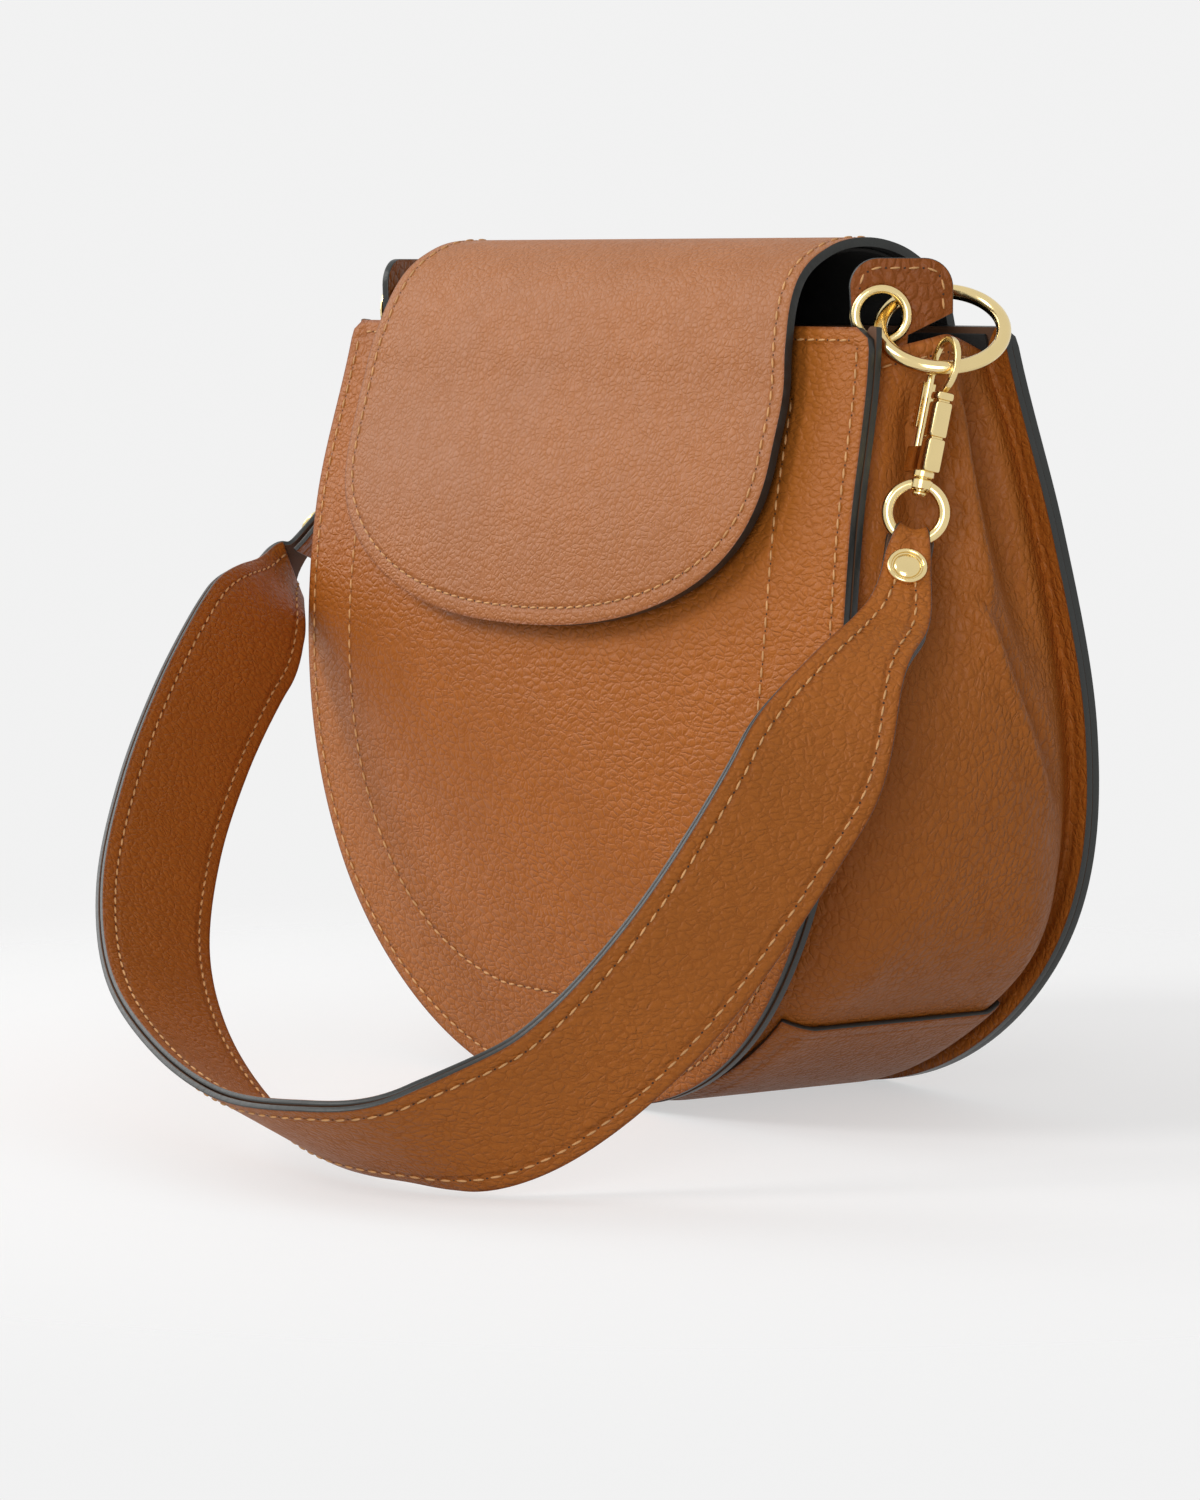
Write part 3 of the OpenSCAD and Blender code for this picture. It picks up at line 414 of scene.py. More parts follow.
def stitches(name, line, normals, body, slant=5):
    """Stitches of thread along a line on a surface, half sunk into it, with a dark dot of painted shade for
    the hole at each end.
    """
    both = resample(np.concatenate([line, unit(normals)], 1), 1.0)
    length = np.r_[0, np.cumsum(np.linalg.norm(np.diff(both[:, :3], axis=0), axis=1))]
    count = max(1, int(length[-1] / stitch_pitch))
    at = (np.arange(count) + 0.5) * length[-1] / count

    def spot(where):
        return np.stack([np.interp(where, length, both[:, k]) for k in range(6)], 1)

    bm = bmesh.new()
    steps = (spot(at), spot(at + 0.6) - spot(at - 0.6), spot(at + length[-1] / count / 2))
    for p, step, hole in zip(*steps):
        n = unit(p[3:])
        t = unit(step[:3])
        side = unit(np.cross(n, t))
        n = np.cross(t, side)
        c, s = math.cos(math.radians(slant)), math.sin(math.radians(slant))
        t, side = t * c + side * s, side * c - t * s
        for centre, size, material in (
                (p[:3] + n * thread_lift, (stitch_length / 2, thread_w / 2, thread_w / 2), 0),
                (hole[:3] + unit(hole[3:]) * hole_lift, hole_size, 1)):
            m = Matrix([[t[k] * size[0], side[k] * size[1], n[k] * size[2], centre[k]] for k in range(3)]
                       + [[0, 0, 0, 1]])
            made = bmesh.ops.create_uvsphere(bm, u_segments=6, v_segments=6 - material * 2, radius=1,
                                             matrix=m)
            for f in {f for v in made["verts"] for f in v.link_faces}:
                f.material_index = material
                f.smooth = True
    bmesh.ops.recalc_face_normals(bm, faces=bm.faces)
    return into_object(name, bm, [thread, needle_hole_shade], body)


edge_seam = inset(outline(), seam_in)
edge_seam = edge_seam[edge_seam[:, 1] < bag_h - 5]
for side in ("front", "back"):
    stitches(side + "_edge_stitches", *on_panel(edge_seam, side == "front"), "bag")
    mouth_seam = np.stack([np.linspace(-118, 118, 120), np.full(120, bag_h - 3.4)], 1)
    stitches(side + "_mouth_stitches", *on_panel(mouth_seam, side == "front"), "bag")
stitches("pocket_stitches", *on_panel(pocket_seam, True), "bag")

# Linings and slip pocket
# Black cloth backed with a thin sheet lies just inside each panel; the pocket hangs behind the front one.
lining_cloth = even_finish("lining_cloth", (0.012, 0.011, 0.010), 0.85, 1500, 0.00010)


def lining_table(front, depth, far_in, low, high, rows=61, cols=61):
    v = np.linspace(0, 1, rows)[:, None]
    u = np.linspace(-1, 1, cols)[None, :]
    z = low + (high - low) * v
    slope = (half_width(z + 2) - half_width(z - 2)) / 4
    x = u * np.maximum(half_width(z) - far_in * np.sqrt(1 + slope**2), 6)
    z = z + 0 * x
    return np.stack([x, front_face(x, z) + depth if front else back_face(x, z) - depth, z], 2)


for name, front, depth, far_in, low, high in (("front_lining", True, 2.3, 10, 10, 210),
                                              ("back_lining", False, 2.3, 10, 10, 210),
                                              ("inner_pocket", True, 3.5, pocket_in, 31, 151)):
    piece = leather_sheet(name + "_cloth", lining_table(front, depth, far_in, low, high), 0.9,
                          [lining_cloth] * 3, "bag", (0, 1 if front else -1, 0), side=1, rim=0.2)
    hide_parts(name)

# Gusset
# One soft strip each side of the bag, sewn to both panels by flanges behind their edges. A crease at the
# mouth, with a valley each side, opens downwards into a round belly; a dent and a pull fold lie lower.
flange_fold, flange_w, flange_in, seam_depth, gusset_t = 2.34, 3.3, 3.2, 6, 1.8
sides = (("right", 1), ("left", -1))
gusset_leather = pebbled_leather("gusset_leather", leather_brown, leather_deep, 2.2, 1.1, 0.43,
                                 turn=(15, 0, 0), pull=(1, 1.15, 0.68))


def rim(t):
    """Right half of the panels' outline and its outward normal, from the mouth to the middle of the base."""
    t = np.asarray(t, float)

    def place(s):
        z = np.where(s < 0.3, bag_h - (bag_h - waist_z) * s / 0.3,
                     waist_z * (1 - np.sin(np.clip((s - 0.3) / 0.62, 0, 1) * math.pi / 2)))
        foot = half_width(0)
        return np.where(s < 0.92, half_width(z), (foot - 0.2) * (1 - (s - 0.92) / 0.08) + 0.2), z

    x, z = place(t)
    x0, z0 = place(np.clip(t - 0.004, 0, 0.92))
    x1, z1 = place(np.clip(t + 0.004, 0.004, 0.92))
    n = unit(np.stack([z0 - z1, x1 - x0], -1))
    low = smooth((t - 0.86) / 0.06)[..., None]
    n = unit(n * (1 - low) + np.array([0, -1]) * low)
    return x, z, n


def wall_height(down, v):
    """Height of the gusset over the panels' edge, v from the front seam to the back seam."""
    crease_v = 0.53 + 0.04 * smooth(down / 0.4)
    k = np.where(v < crease_v, v / crease_v / 2, 1 - (1 - v) / (1 - crease_v) / 2)
    power = 1.15 + 0.85 * smooth(down / 0.4) + 4 * smooth((down - 0.45) / 0.5)
    fill = 1 + 0.3 * smooth((down - 0.6) / 0.38)
    rise = np.minimum(1, fill * (1 - np.abs(2 * k - 1)**power))
    out = 8 * through([0.1, 0.12, 0.4, 0.85, 1.0, 1.0, 0.9, 0.8, 0.8], down)
    out = out + (-2.8 - out) * smooth((down - 0.72) / 0.22)
    return -seam_depth + (out + seam_depth) * rise


def gusset_table(rows=200, per_span=7):
    t = np.linspace(0, 1, rows)
    x, z, n = rim(t)
    down = 1 - z / bag_h
    ya, yb = -front_edge(z) + flange_in, back_edge(z) - flange_in
    spans = np.linspace(0, 1, 11)
    wall = [(ya + 2 * flange_fold + (yb - ya - 4 * flange_fold) * v, wall_height(down, v)) for v in spans]
    flat = np.zeros(rows)
    ends = [(0.0, flat), (0.0, flat - flange_w),
            (0.3 * flange_fold, flat - seam_depth - flange_fold / 2)]
    line = ([(ya + a, b) for a, b in ends] + wall + [(yb - a, b) for a, b in ends[::-1]])
    knots = np.array([np.stack(p, 1) for p in line])
    fade = 1 - smooth((bag_h - z) / 30)
    dips = np.zeros((17, rows))
    for k in range(2, 15):
        dips[k] = fade * 6 * (1 - 0.65 * max(0, 1 - abs(2 * (k - 2) / 12 - 1)))
    cols = 16 * per_span + 1
    s = np.linspace(0, 1, cols)
    across = through(knots, s)
    dip = through(dips[..., None], s)[..., 0]
    v = (s[:, None] * 16 - 3) / 10
    ridge_v = 0.53 + 0.04 * smooth(down / 0.4)
    on_wall = smooth(v / 0.12) * smooth((1 - v) / 0.12)
    near_mouth = smooth((down - 0.02) / 0.1)
    ridge = 3.0 * np.exp(-((v - ridge_v) / 0.045)**2) * near_mouth * (1 - smooth((down - 0.28) / 0.16))
    rear_valley = 7.5 * np.exp(-((v - ridge_v - 0.23) / 0.13)**2)
    front_valley = 5.5 * np.exp(-((v - ridge_v + 0.24) / 0.13)**2)
    valley = (rear_valley + front_valley) * near_mouth * smooth((0.52 - down) / 0.22)
    fold_v = 0.55 + (132 - z) / 40 * 0.25
    along = smooth((z - 84) / 14) * smooth((150 - z) / 14)
    fold = 2.0 * np.exp(-((v - fold_v) / 0.035)**2)
    fold = (fold - 2.6 * np.exp(-((v - fold_v - 0.075) / 0.05)**2)) * along
    dent = -1.8 * np.exp(-((v - 0.30) / 0.16)**2 - ((z - 160) / 26)**2)
    height = across[..., 1] + (ridge - valley + fold + dent) * on_wall
    table = np.stack([x + height * n[:, 0], across[..., 0], z + height * n[:, 1] - dip], 2)
    from_side = np.interp(np.minimum(s, 1 - s) * 16, [0, 1, 2, 3], [0, flange_w, 7.2, 50])
    from_mouth = np.where((s > 2 / 16) & (s < 14 / 16), 0, 50)[:, None] + (bag_h - z)
    edge = np.minimum(from_side[:, None] + 0 * z, from_mouth)
    return table.transpose(1, 0, 2), edge.T


def surface(table, rows, cols):
    """Places and normals on a table of points at broken row and column numbers."""
    def spot(r, c):
        r = np.clip(r, 0, table.shape[0] - 1.001)
        c = np.clip(c, 0, table.shape[1] - 1.001)
        i, j = r.astype(int), c.astype(int)
        a, b = (r - i)[:, None], (c - j)[:, None]
        return ((table[i, j] * (1 - b) + table[i, j + 1] * b) * (1 - a)
                + (table[i + 1, j] * (1 - b) + table[i + 1, j + 1] * b) * a)

    rows, cols = np.asarray(rows, float), np.asarray(cols, float)
    along = spot(rows + 0.7, cols) - spot(rows - 0.7, cols)
    across = spot(rows, cols + 0.7) - spot(rows, cols - 0.7)
    return spot(rows, cols), unit(np.cross(across, along))


table, edge = gusset_table()
for name, sign in (("side_gusset_right", 1), ("side_gusset_left", -1)):
    piece = leather_sheet(name + "_leather", table * [sign, 1, 1], gusset_t,
                          [gusset_leather, leather_back, edge_paint], "bag", (sign, 0, 0),
                          edge, side=0)
    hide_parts(name)
hem_cols = np.linspace(20, 92, 60)
hem, hem_normal = surface(table, np.full(60, 3.9), hem_cols)
hem_normal *= np.sign(hem_normal[:, :1])
for name, sign in sides:
    flip = np.array([sign, 1, 1])
    stitches("gusset_hem_stitches_" + name, (hem + hem_normal * gusset_t / 2) * flip, hem_normal * flip,
             "bag")

# Base piece
# A strip of the same leather sewn over the meeting gussets under the bag, its upper edge on each side
# cut to a gentle curve and painted dark like the others. The bag stands on it.
base_top, base_border, base_over, base_t = 29.0, 0.03, 2.0, 1.6


def base_table(rows=101, cols=57):
    first = 0.3 + 0.62 * math.asin(1 - base_top / waist_z) / (math.pi / 2)
    half = np.linspace(first, 1, rows)
    v = np.linspace(base_border, 1 - base_border, cols)[:, None]
    x, z, n = rim(half)
    x = x - 0.2 * smooth((half - 0.92) / 0.08)
    ya, yb = -front_edge(z) + flange_in, back_edge(z) - flange_in
    y = ya + 2 * flange_fold + (yb - ya - 4 * flange_fold) * v
    h = wall_height(1 - z / bag_h, v) + base_over
    right = np.stack([x + h * n[:, 0], y, np.maximum(z + h * n[:, 1], base_t / 2)], 2).transpose(1, 0, 2)
    return np.concatenate([right, right[-2::-1] * [-1, 1, 1]])


table = base_table()
steps = np.linalg.norm(np.diff(table[:, 28], axis=0), axis=1)
length = np.r_[0, np.cumsum(steps)]
widths = np.linspace(0, 70, table.shape[1])
edge = np.minimum(np.minimum(length, length[-1] - length)[:, None],
                  np.minimum(widths, widths[::-1])[None, :])
piece = leather_sheet("base_piece_leather", table, base_t, [gusset_leather, leather_back, edge_paint],
                      "bag", (0, 0, -1), edge, side=0)
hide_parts("base_piece")

# Ring tabs
# A tongue of coarse leather inside each end of the mouth, stitched round and painted on its edge,
# turned a little outwards. It holds the eyelet.
tab_t, tab_turn, eyelet_r, eyelet_hole_r = 2.1, math.radians(28.9), 7.9, 5.6
eyelet_at = np.array([117.1, -26.48, 215.0])
tab_leather = pebbled_leather("tab_leather", leather_brown, leather_deep, 2.8, 1.3, 0.43, pull=(1, 1, 0.8))
at_tab = Matrix([[math.sin(tab_turn), 0, math.cos(tab_turn), eyelet_at[0]],
                 [math.cos(tab_turn), 0, -math.sin(tab_turn), eyelet_at[1]],
                 [0, 1, 0, eyelet_at[2]], [0, 0, 0, 1]])


def tab_outline():
    """Counter-clockwise from the lower front: rear at +x, top at +y, the foot goes into the bag."""
    front, rear, r = eyelet_r + 0.3, eyelet_r * 2.35, eyelet_r * 0.95
    top, foot = eyelet_r * 1.85, eyelet_r * 2.6
    turn = np.linspace(0, math.pi / 2, 12)
    rear_corner = [(rear - r + r * math.cos(a), top - r + r * math.sin(a)) for a in turn]
    front_corner = [(-front + r - r * math.sin(a), top - r + r * math.cos(a)) for a in turn]
    return np.array([(-front * 0.8, -foot), (rear * 0.32, -foot), (rear * 0.38, -eyelet_r * 0.66),
                     (rear, eyelet_r * 0.06)] + rear_corner + front_corner)


def ready(name, bm, matrix, sign, materials, node, body):
    """Places a piece built for the right side, mirrors it for the left and marks its sharp edges."""
    bmesh.ops.remove_doubles(bm, verts=bm.verts, dist=0.001)
    bm.transform(Matrix.Diagonal((sign, 1, 1, 1)) @ matrix)
    bmesh.ops.recalc_face_normals(bm, faces=bm.faces)
    for f in bm.faces:
        f.smooth = True
    for e in bm.edges:
        e.smooth = len(e.link_faces) == 2 and e.calc_face_angle(0) < math.radians(32)
    piece = into_object(name, bm, materials, body)
    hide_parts(node)
    return piece


def plate(bm, points, low, high, bevel=0.0, hole=None):
    """A flat outline drawn up from low to high, rims bevelled; hole is the radius of a hole at its origin."""
    rings = [np.asarray(points, float)]
    if hole:
        a = np.linspace(0, 2 * math.pi, 49)[:-1]
        rings.append(np.stack([hole * np.cos(a), hole * np.sin(a)], 1))
    edges = []
    for ring in rings:
        verts = [bm.verts.new((x, y, low)) for x, y in ring]
        edges += [bm.edges.new((verts[i], verts[i - 1])) for i in range(len(verts))]
    faces = [f for f in bmesh.ops.triangle_fill(bm, edges=edges, use_beauty=True)["geom"]
             if isinstance(f, bmesh.types.BMFace)]
    up = bmesh.ops.extrude_face_region(bm, geom=faces, use_keep_orig=True)["geom"]
    top = [v for v in up if isinstance(v, bmesh.types.BMVert)]
    bmesh.ops.translate(bm, verts=top, vec=(0, 0, high - low))
    bmesh.ops.recalc_face_normals(bm, faces=bm.faces)
    if bevel:
        rims = [e for e in bm.edges if len(e.link_faces) == 2 and e.calc_face_angle(0) > math.radians(60)
                and abs(e.verts[0].co.z - e.verts[1].co.z) < 1e-4
                and (abs(e.verts[0].co.z - low) < 1e-4 or abs(e.verts[0].co.z - high) < 1e-4)]
        bmesh.ops.bevel(bm, geom=rims, offset=bevel, segments=3, profile=0.5, affect="EDGES", material=-1)


for name, sign in (("ring_tab_right", 1), ("ring_tab_left", -1)):
    bm = bmesh.new()
    plate(bm, tab_outline(), -tab_t / 2, tab_t / 2, 0.35, eyelet_hole_r + 0.78)
    for f in bm.faces:
        f.material_index = 0 if abs(f.normal.z) > 0.8 else 1
    ready(name + "_leather", bm, at_tab, sign, [tab_leather, edge_paint], name, "bag")
    seam = inset(tab_outline()[3:], 2.6)
    spots = np.array([at_tab @ Vector((x, y, tab_t / 2)) for x, y in seam]) * [sign, 1, 1]
    out = np.array([math.cos(tab_turn) * sign, -math.sin(tab_turn), 0])
    stitches(name + "_stitches", spots, np.tile(out, (len(spots), 1)), "bag")

# Eyelets and washers
# Pale gold plated brass, polished: a rounded flange outside, a barrel through the tab, and a lip rolled
# over a thin washer inside.
gold = even_finish("polished_gold", (0.80, 0.63, 0.31), 0.17, 260, 0.000006, metal=1.0, mottle=0.03)
washer_t, flange_back = tab_t * 0.2, tab_t / 2 + 0.3
tab_back = flange_back + washer_t + 0.3


def turned(bm, profile, matrix=Matrix.Identity(4), steps=64, closed=True):
    """Turns a profile of (radius, height) points round z."""
    made = [bm.verts.new((x, 0, z)) for x, z in profile]
    pairs = list(zip(made, made[1:] + made[:1])) if closed else list(zip(made, made[1:]))
    edges = [bm.edges.new(pair) for pair in pairs]
    spun = set(made)
    before = set(bm.verts) - spun
    bmesh.ops.spin(bm, geom=made + edges, cent=(0, 0, 0), axis=(0, 0, 1), dvec=(0, 0, 0),
                   angle=2 * math.pi, steps=steps, use_merge=True)
    new = [v for v in bm.verts if v not in before]
    bmesh.ops.transform(bm, matrix=matrix, verts=new)


def half_round(r, height, low, count=7):
    """Points of a raised half-round bead from radius r[0] to r[1]."""
    a = np.linspace(math.pi, 0, count)
    middle, reach = (r[0] + r[1]) / 2, (r[1] - r[0]) / 2
    return [(middle + reach * math.cos(t), low + height * math.sin(t)) for t in a]


for side, sign in sides:
    bm = bmesh.new()
    barrel = eyelet_hole_r + eyelet_r * 0.08
    bead = half_round((eyelet_hole_r, eyelet_r), 0.95, flange_back + 0.05, 11)
    turned(bm, [(eyelet_hole_r, -tab_back)] + bead
           + [(eyelet_r, flange_back), (barrel, flange_back), (barrel, -tab_back),
              (barrel + 0.85, -tab_back), (barrel + 0.8, -tab_back - 0.45), (barrel, -tab_back - 0.62)])
    ready("eyelet_metal_" + side, bm, at_tab, sign, [gold], "eyelet_" + side, "bag")
    bm = bmesh.new()
    low = -tab_t / 2 - 0.3 - washer_t
    turned(bm, [(barrel + 0.15, low), (eyelet_r - 0.1, low), (eyelet_r, low + 0.1),
                (eyelet_r, low + washer_t), (barrel + 0.15, low + washer_t)])
    ready("washer_metal_" + side, bm, at_tab, sign, [gold], "eyelet_washer_" + side, "bag")

# Rings
# A round wire ring, brazed shut, polished and plated, hangs through each eyelet and carries the hook.
ring_r, ring_wire = 15.8, 1.9
ring_lean, ring_turn = math.radians(37.8), math.radians(-34.9)
hook_at = np.array([138.965, -22.804, 201.750])
ring_out = np.array([math.cos(ring_lean) * math.cos(ring_turn), math.cos(ring_lean) * math.sin(ring_turn),
                     -math.sin(ring_lean)])
ring_centre = hook_at - ring_r * ring_out


def wire_loop(bm, r, wire, matrix, steps=96, around=22):
    a = np.linspace(0, 2 * math.pi, around + 1)[:-1]
    turned(bm, [(r + wire * math.cos(t), wire * math.sin(t)) for t in a], matrix, steps)


at_ring = (Matrix.Translation(ring_centre) @ Matrix.Rotation(ring_turn, 4, "Z")
           @ Matrix.Rotation(ring_lean, 4, "Y"))
for side, sign in sides:
    bm = bmesh.new()
    wire_loop(bm, ring_r, ring_wire, Matrix.Identity(4))
    ready("ring_metal_" + side, bm, at_ring, sign, [gold], "o_ring_" + side, "ring_" + side)

# Snap hooks
# Cast and plated: a flat loop, a faceted shank in three blocks, a housing for the sliding bolt, and a
# collar with the swivel's neck. The bolt is a pin with a ribbed thumb piece that closes the loop.
hook_lean, hook_turn = math.radians(-13.5), math.radians(-12)
hook_hole, hook_wall, loop_t, shank_t, hook_len = 5.9, 1.7, 1.5, 4.4, 37.4
eye_r, eye_wire, bolt_travel = 7.2, 1.5, 4.6
hook_out_r, hook_lift = hook_hole + hook_wall, hook_wall * 0.35
shank_right, shank_left = hook_out_r * 0.66, -hook_out_r * 0.06
housing_left, housing_top = -hook_out_r * 1.12, -hook_hole * 3.45
shank_foot = -hook_len + eye_r + eye_wire * 2.1
bolt_x, bolt_r = -hook_hole - hook_wall / 2, hook_wall * 0.6
boss_r, boss_top = eye_wire * 1.9, shank_foot - eye_wire - 0.3
boss_foot = -hook_len + eye_r - eye_wire
hook_hang = Matrix.Translation(hook_at) @ Matrix.Rotation(hook_lean, 4, "X")
at_hook = hook_hang @ Matrix.Rotation(hook_turn, 4, "Z")
stand_up = Matrix.Rotation(math.pi / 2, 4, "X")


def block(bm, low, high, bevel):
    """A box between two corners with bevelled edges."""
    made = bmesh.ops.create_cube(bm, size=1.0)["verts"]
    size = [b - a for a, b in zip(low, high)]
    bmesh.ops.transform(bm, verts=made, matrix=Matrix.Translation([(a + b) / 2 for a, b in zip(low, high)])
                        @ Matrix.Diagonal((*size, 1)))
    edges = list({e for v in made for e in v.link_edges})
    bmesh.ops.bevel(bm, geom=edges, offset=bevel, segments=2, profile=0.5, affect="EDGES", material=-1)


def hook_loop(bm):
    a = np.radians(np.linspace(-64, 166, 47))
    ring = np.concatenate([np.stack([hook_out_r * np.cos(a), hook_out_r * np.sin(a)], 1),
                           np.stack([hook_hole * np.cos(a), hook_hole * np.sin(a)], 1)[::-1]])
    flat = bmesh.new()
    plate(flat, ring + [0, hook_lift], -loop_t / 2, loop_t / 2, 0.28)
    flat.transform(stand_up)
    mesh = bpy.data.meshes.new("loop")
    flat.to_mesh(mesh)
    flat.free()
    bm.from_mesh(mesh)
    bpy.data.meshes.remove(mesh)


def add_turned(bm, profile, steps=32):
    turned(bm, profile, steps=steps, closed=False)


def disc(r, low, high, soft=0.3):
    """Profile of a solid disc with softened rims."""
    return [(0, low), (r - soft, low), (r, low + soft), (r, high - soft), (r - soft, high), (0, high)]


shank_breaks = [(-6.4, -8.6), (-8.9, -18.1), (-18.4, shank_foot)]
for side, sign in sides:
    bm = bmesh.new()
    hook_loop(bm)
    for top, low in shank_breaks:
        block(bm, (shank_left, -shank_t / 2, low), (shank_right, shank_t / 2, top), 0.75)
    core, cheek = shank_t / 2 - 0.7, shank_t / 2 - 0.2
    block(bm, (shank_left + 0.7, -core, shank_foot + 1), (shank_right - 0.7, core, -7), 0.3)
    block(bm, (housing_left, -cheek, shank_foot), (shank_left + 1, cheek, housing_top), 0.6)
    add_turned(bm, disc(boss_r, shank_foot - eye_wire, shank_foot + 0.4))
    add_turned(bm, disc(eye_wire * 0.85, boss_foot - 0.8, shank_foot, 0.1))
    add_turned(bm, disc(eye_wire * 1.275, boss_foot - 1.5, boss_foot - 0.3, 0.4))
    ready("hook_metal_" + side, bm, at_hook, sign, [gold], "hook_body_" + side, "hook_" + side)

    bm = bmesh.new()
    bolt_top = hook_out_r * math.sin(math.radians(166)) - hook_wall * 0.45
    add_turned(bm, disc(bolt_r, housing_top - 1, bolt_top, 0.2), 24)
    bmesh.ops.translate(bm, verts=bm.verts, vec=(bolt_x, 0, 0))
    thumb_top, thumb_low = -hook_hole * 0.62, housing_top + bolt_travel + 0.3
    rib = shank_t * 0.4
    block(bm, (housing_left + 0.1, -rib, thumb_low), (bolt_x + 0.5, rib, thumb_top), 0.35)
    pitch = (thumb_top - thumb_low) / 7
    for k in range(7):
        z = thumb_low + pitch * (k + 0.5)
        block(bm, (housing_left - 0.95, -rib, z - pitch * 0.32),
              (housing_left + 0.6, rib, z + pitch * 0.32), 0.28)
    ready("bolt_metal_" + side, bm, at_hook, sign, [gold], "hook_bolt_" + side, "bolt_" + side)

# Swivel eyes
# A wire ring under a round boss that turns on the hook's neck; the strap's end is folded round its foot.
eye_turn = math.radians(55)
for side, sign in sides:
    bm = bmesh.new()
    down = Matrix.Translation((0, 0, -hook_len)) @ Matrix.Rotation(eye_turn, 4, "Z") @ stand_up
    wire_loop(bm, eye_r, eye_wire, down, 64, 18)
    turned(bm, [(eye_wire * 0.85 + 0.06, boss_foot), (boss_r - 0.4, boss_foot), (boss_r, boss_foot + 0.4),
                (boss_r, boss_top - 0.4), (boss_r - 0.4, boss_top), (eye_wire * 0.85 + 0.06, boss_top)],
           steps=32)
    ready("swivel_eye_metal_" + side, bm, hook_hang, sign, [gold], "swivel_eye_" + side, "strap")

# Strap
# Two plies of the same leather sewn back to back, 38 mm wide, edges painted. Each end narrows in an
# S curve, is folded round the swivel eye and riveted to itself.
strap_w, strap_end_w, ply_t, strap_reach, rivet_r = 38.0, 12.0, 1.5, 143.0, 5.1
ply_mid, fold_r = 0.9, eye_wire + 0.3 + ply_t / 2
end_swing = math.radians(30)
flip_x = np.array([-1, 1, 1])
down = np.array([0, math.sin(hook_lean), -math.cos(hook_lean)])
across = -np.array([math.cos(eye_turn), math.sin(eye_turn) * math.cos(hook_lean),
                    math.sin(eye_turn) * math.sin(hook_lean)])
out = np.cross(across, down)
eye_at = hook_at + hook_len * down
fold_at = eye_at + eye_r * down
leave = math.cos(end_swing) * down + math.sin(end_swing) * out
straight_from, straight_to = rivet_r * 1.02, rivet_r * 4.67
route_shares = [
    (1.13, 0.205, 0.805), (1.15, 0.37, 0.60), (1.10, 0.575, 0.345), (1.015, 0.77, 0.17),
    (0.92, 0.945, 0.105), (0.765, 1.04, 0.09), (0.555, 1.065, 0.095), (0.30, 1.045, 0.145),
    (0.025, 0.98, 0.225), (-0.225, 0.87, 0.34), (-0.435, 0.72, 0.48), (-0.61, 0.555, 0.615),
    (-0.76, 0.39, 0.73), (-0.895, 0.235, 0.815)]
width_dirs = [
    (-0.58, -0.74, 0.34), (-0.24, -0.82, 0.52), (-0.14, -0.84, 0.53), (-0.06, -0.86, 0.5),
    (-0.1, -0.88, 0.46), (-0.02, -0.86, 0.52), (0.02, -0.87, 0.5), (-0.01, -0.88, 0.47),
    (-0.05, -0.88, 0.47), (-0.06, -0.82, 0.57), (-0.03, -0.77, 0.64), (-0.03, -0.73, 0.68),
    (0.04, -0.77, 0.63), (0.22, -0.86, 0.45)]
near_end, far_end = fold_at + straight_from * leave, fold_at + straight_to * leave
route_knots = ([near_end, far_end]
               + [np.array([a * fold_at[0], fold_at[1] - b * strap_reach, c * fold_at[2]])
                  for a, b, c in route_shares]
               + [far_end * flip_x, near_end * flip_x])
width_knots = [across, across, *width_dirs, across * flip_x, across * flip_x]
route_steps = 561
route_t = np.linspace(0, 1, route_steps)
route = through(route_knots, route_t)
going = unit(np.gradient(route, axis=0))
going[0], going[-1] = leave, -leave * flip_x
wide = through(width_knots, route_t)
wide = unit(wide - (wide * going).sum(1)[:, None] * going)
facing = np.cross(wide, going)
run = np.r_[0, np.cumsum(np.linalg.norm(np.diff(route, axis=0), axis=1))]
to_end = np.minimum(run, run[-1] - run)
strap_width = strap_end_w + strap_w * 0.17 * smooth(to_end / (strap_w * 0.72))
strap_width = strap_width + (strap_w - strap_width) * smooth((to_end - strap_w * 0.72) / (strap_w * 1.25))
cross_shares = np.linspace(-1, 1, 25)


def strap_rows(which, off):
    """Rows of points across the strap at the given steps, off from its middle line."""
    w = wide[which] * strap_width[which, None] / 2
    return (route[which] + facing[which] * off)[:, None] + w[:, None] * cross_shares[None, :, None]


def wrap_rows(off, count=20):
    """Rows round the eye's wire, from behind to the front of the fold."""
    f = cross_shares * strap_end_w / 2 / eye_r
    ray = np.sin(f)[:, None] * across + np.cos(f)[:, None] * down
    rows = []
    for a in np.linspace(end_swing + math.pi, end_swing, count):
        rows.append(eye_at + eye_r * ray + (fold_r + off) * (math.cos(a) * out - math.sin(a) * ray))
    return np.array(rows)


def even_rows(table, step=1.25):
    """Spaces the rows of a table evenly along its middle."""
    middle = table[:, table.shape[1] // 2]
    at = np.r_[0, np.cumsum(np.linalg.norm(np.diff(middle, axis=0), axis=1))]
    want = np.linspace(0, at[-1], int(at[-1] / step) + 1)
    flat = table.reshape(len(table), -1)
    new = np.stack([np.interp(want, at, flat[:, k]) for k in range(flat.shape[1])], 1)
    return new.reshape(len(want), -1, 3)


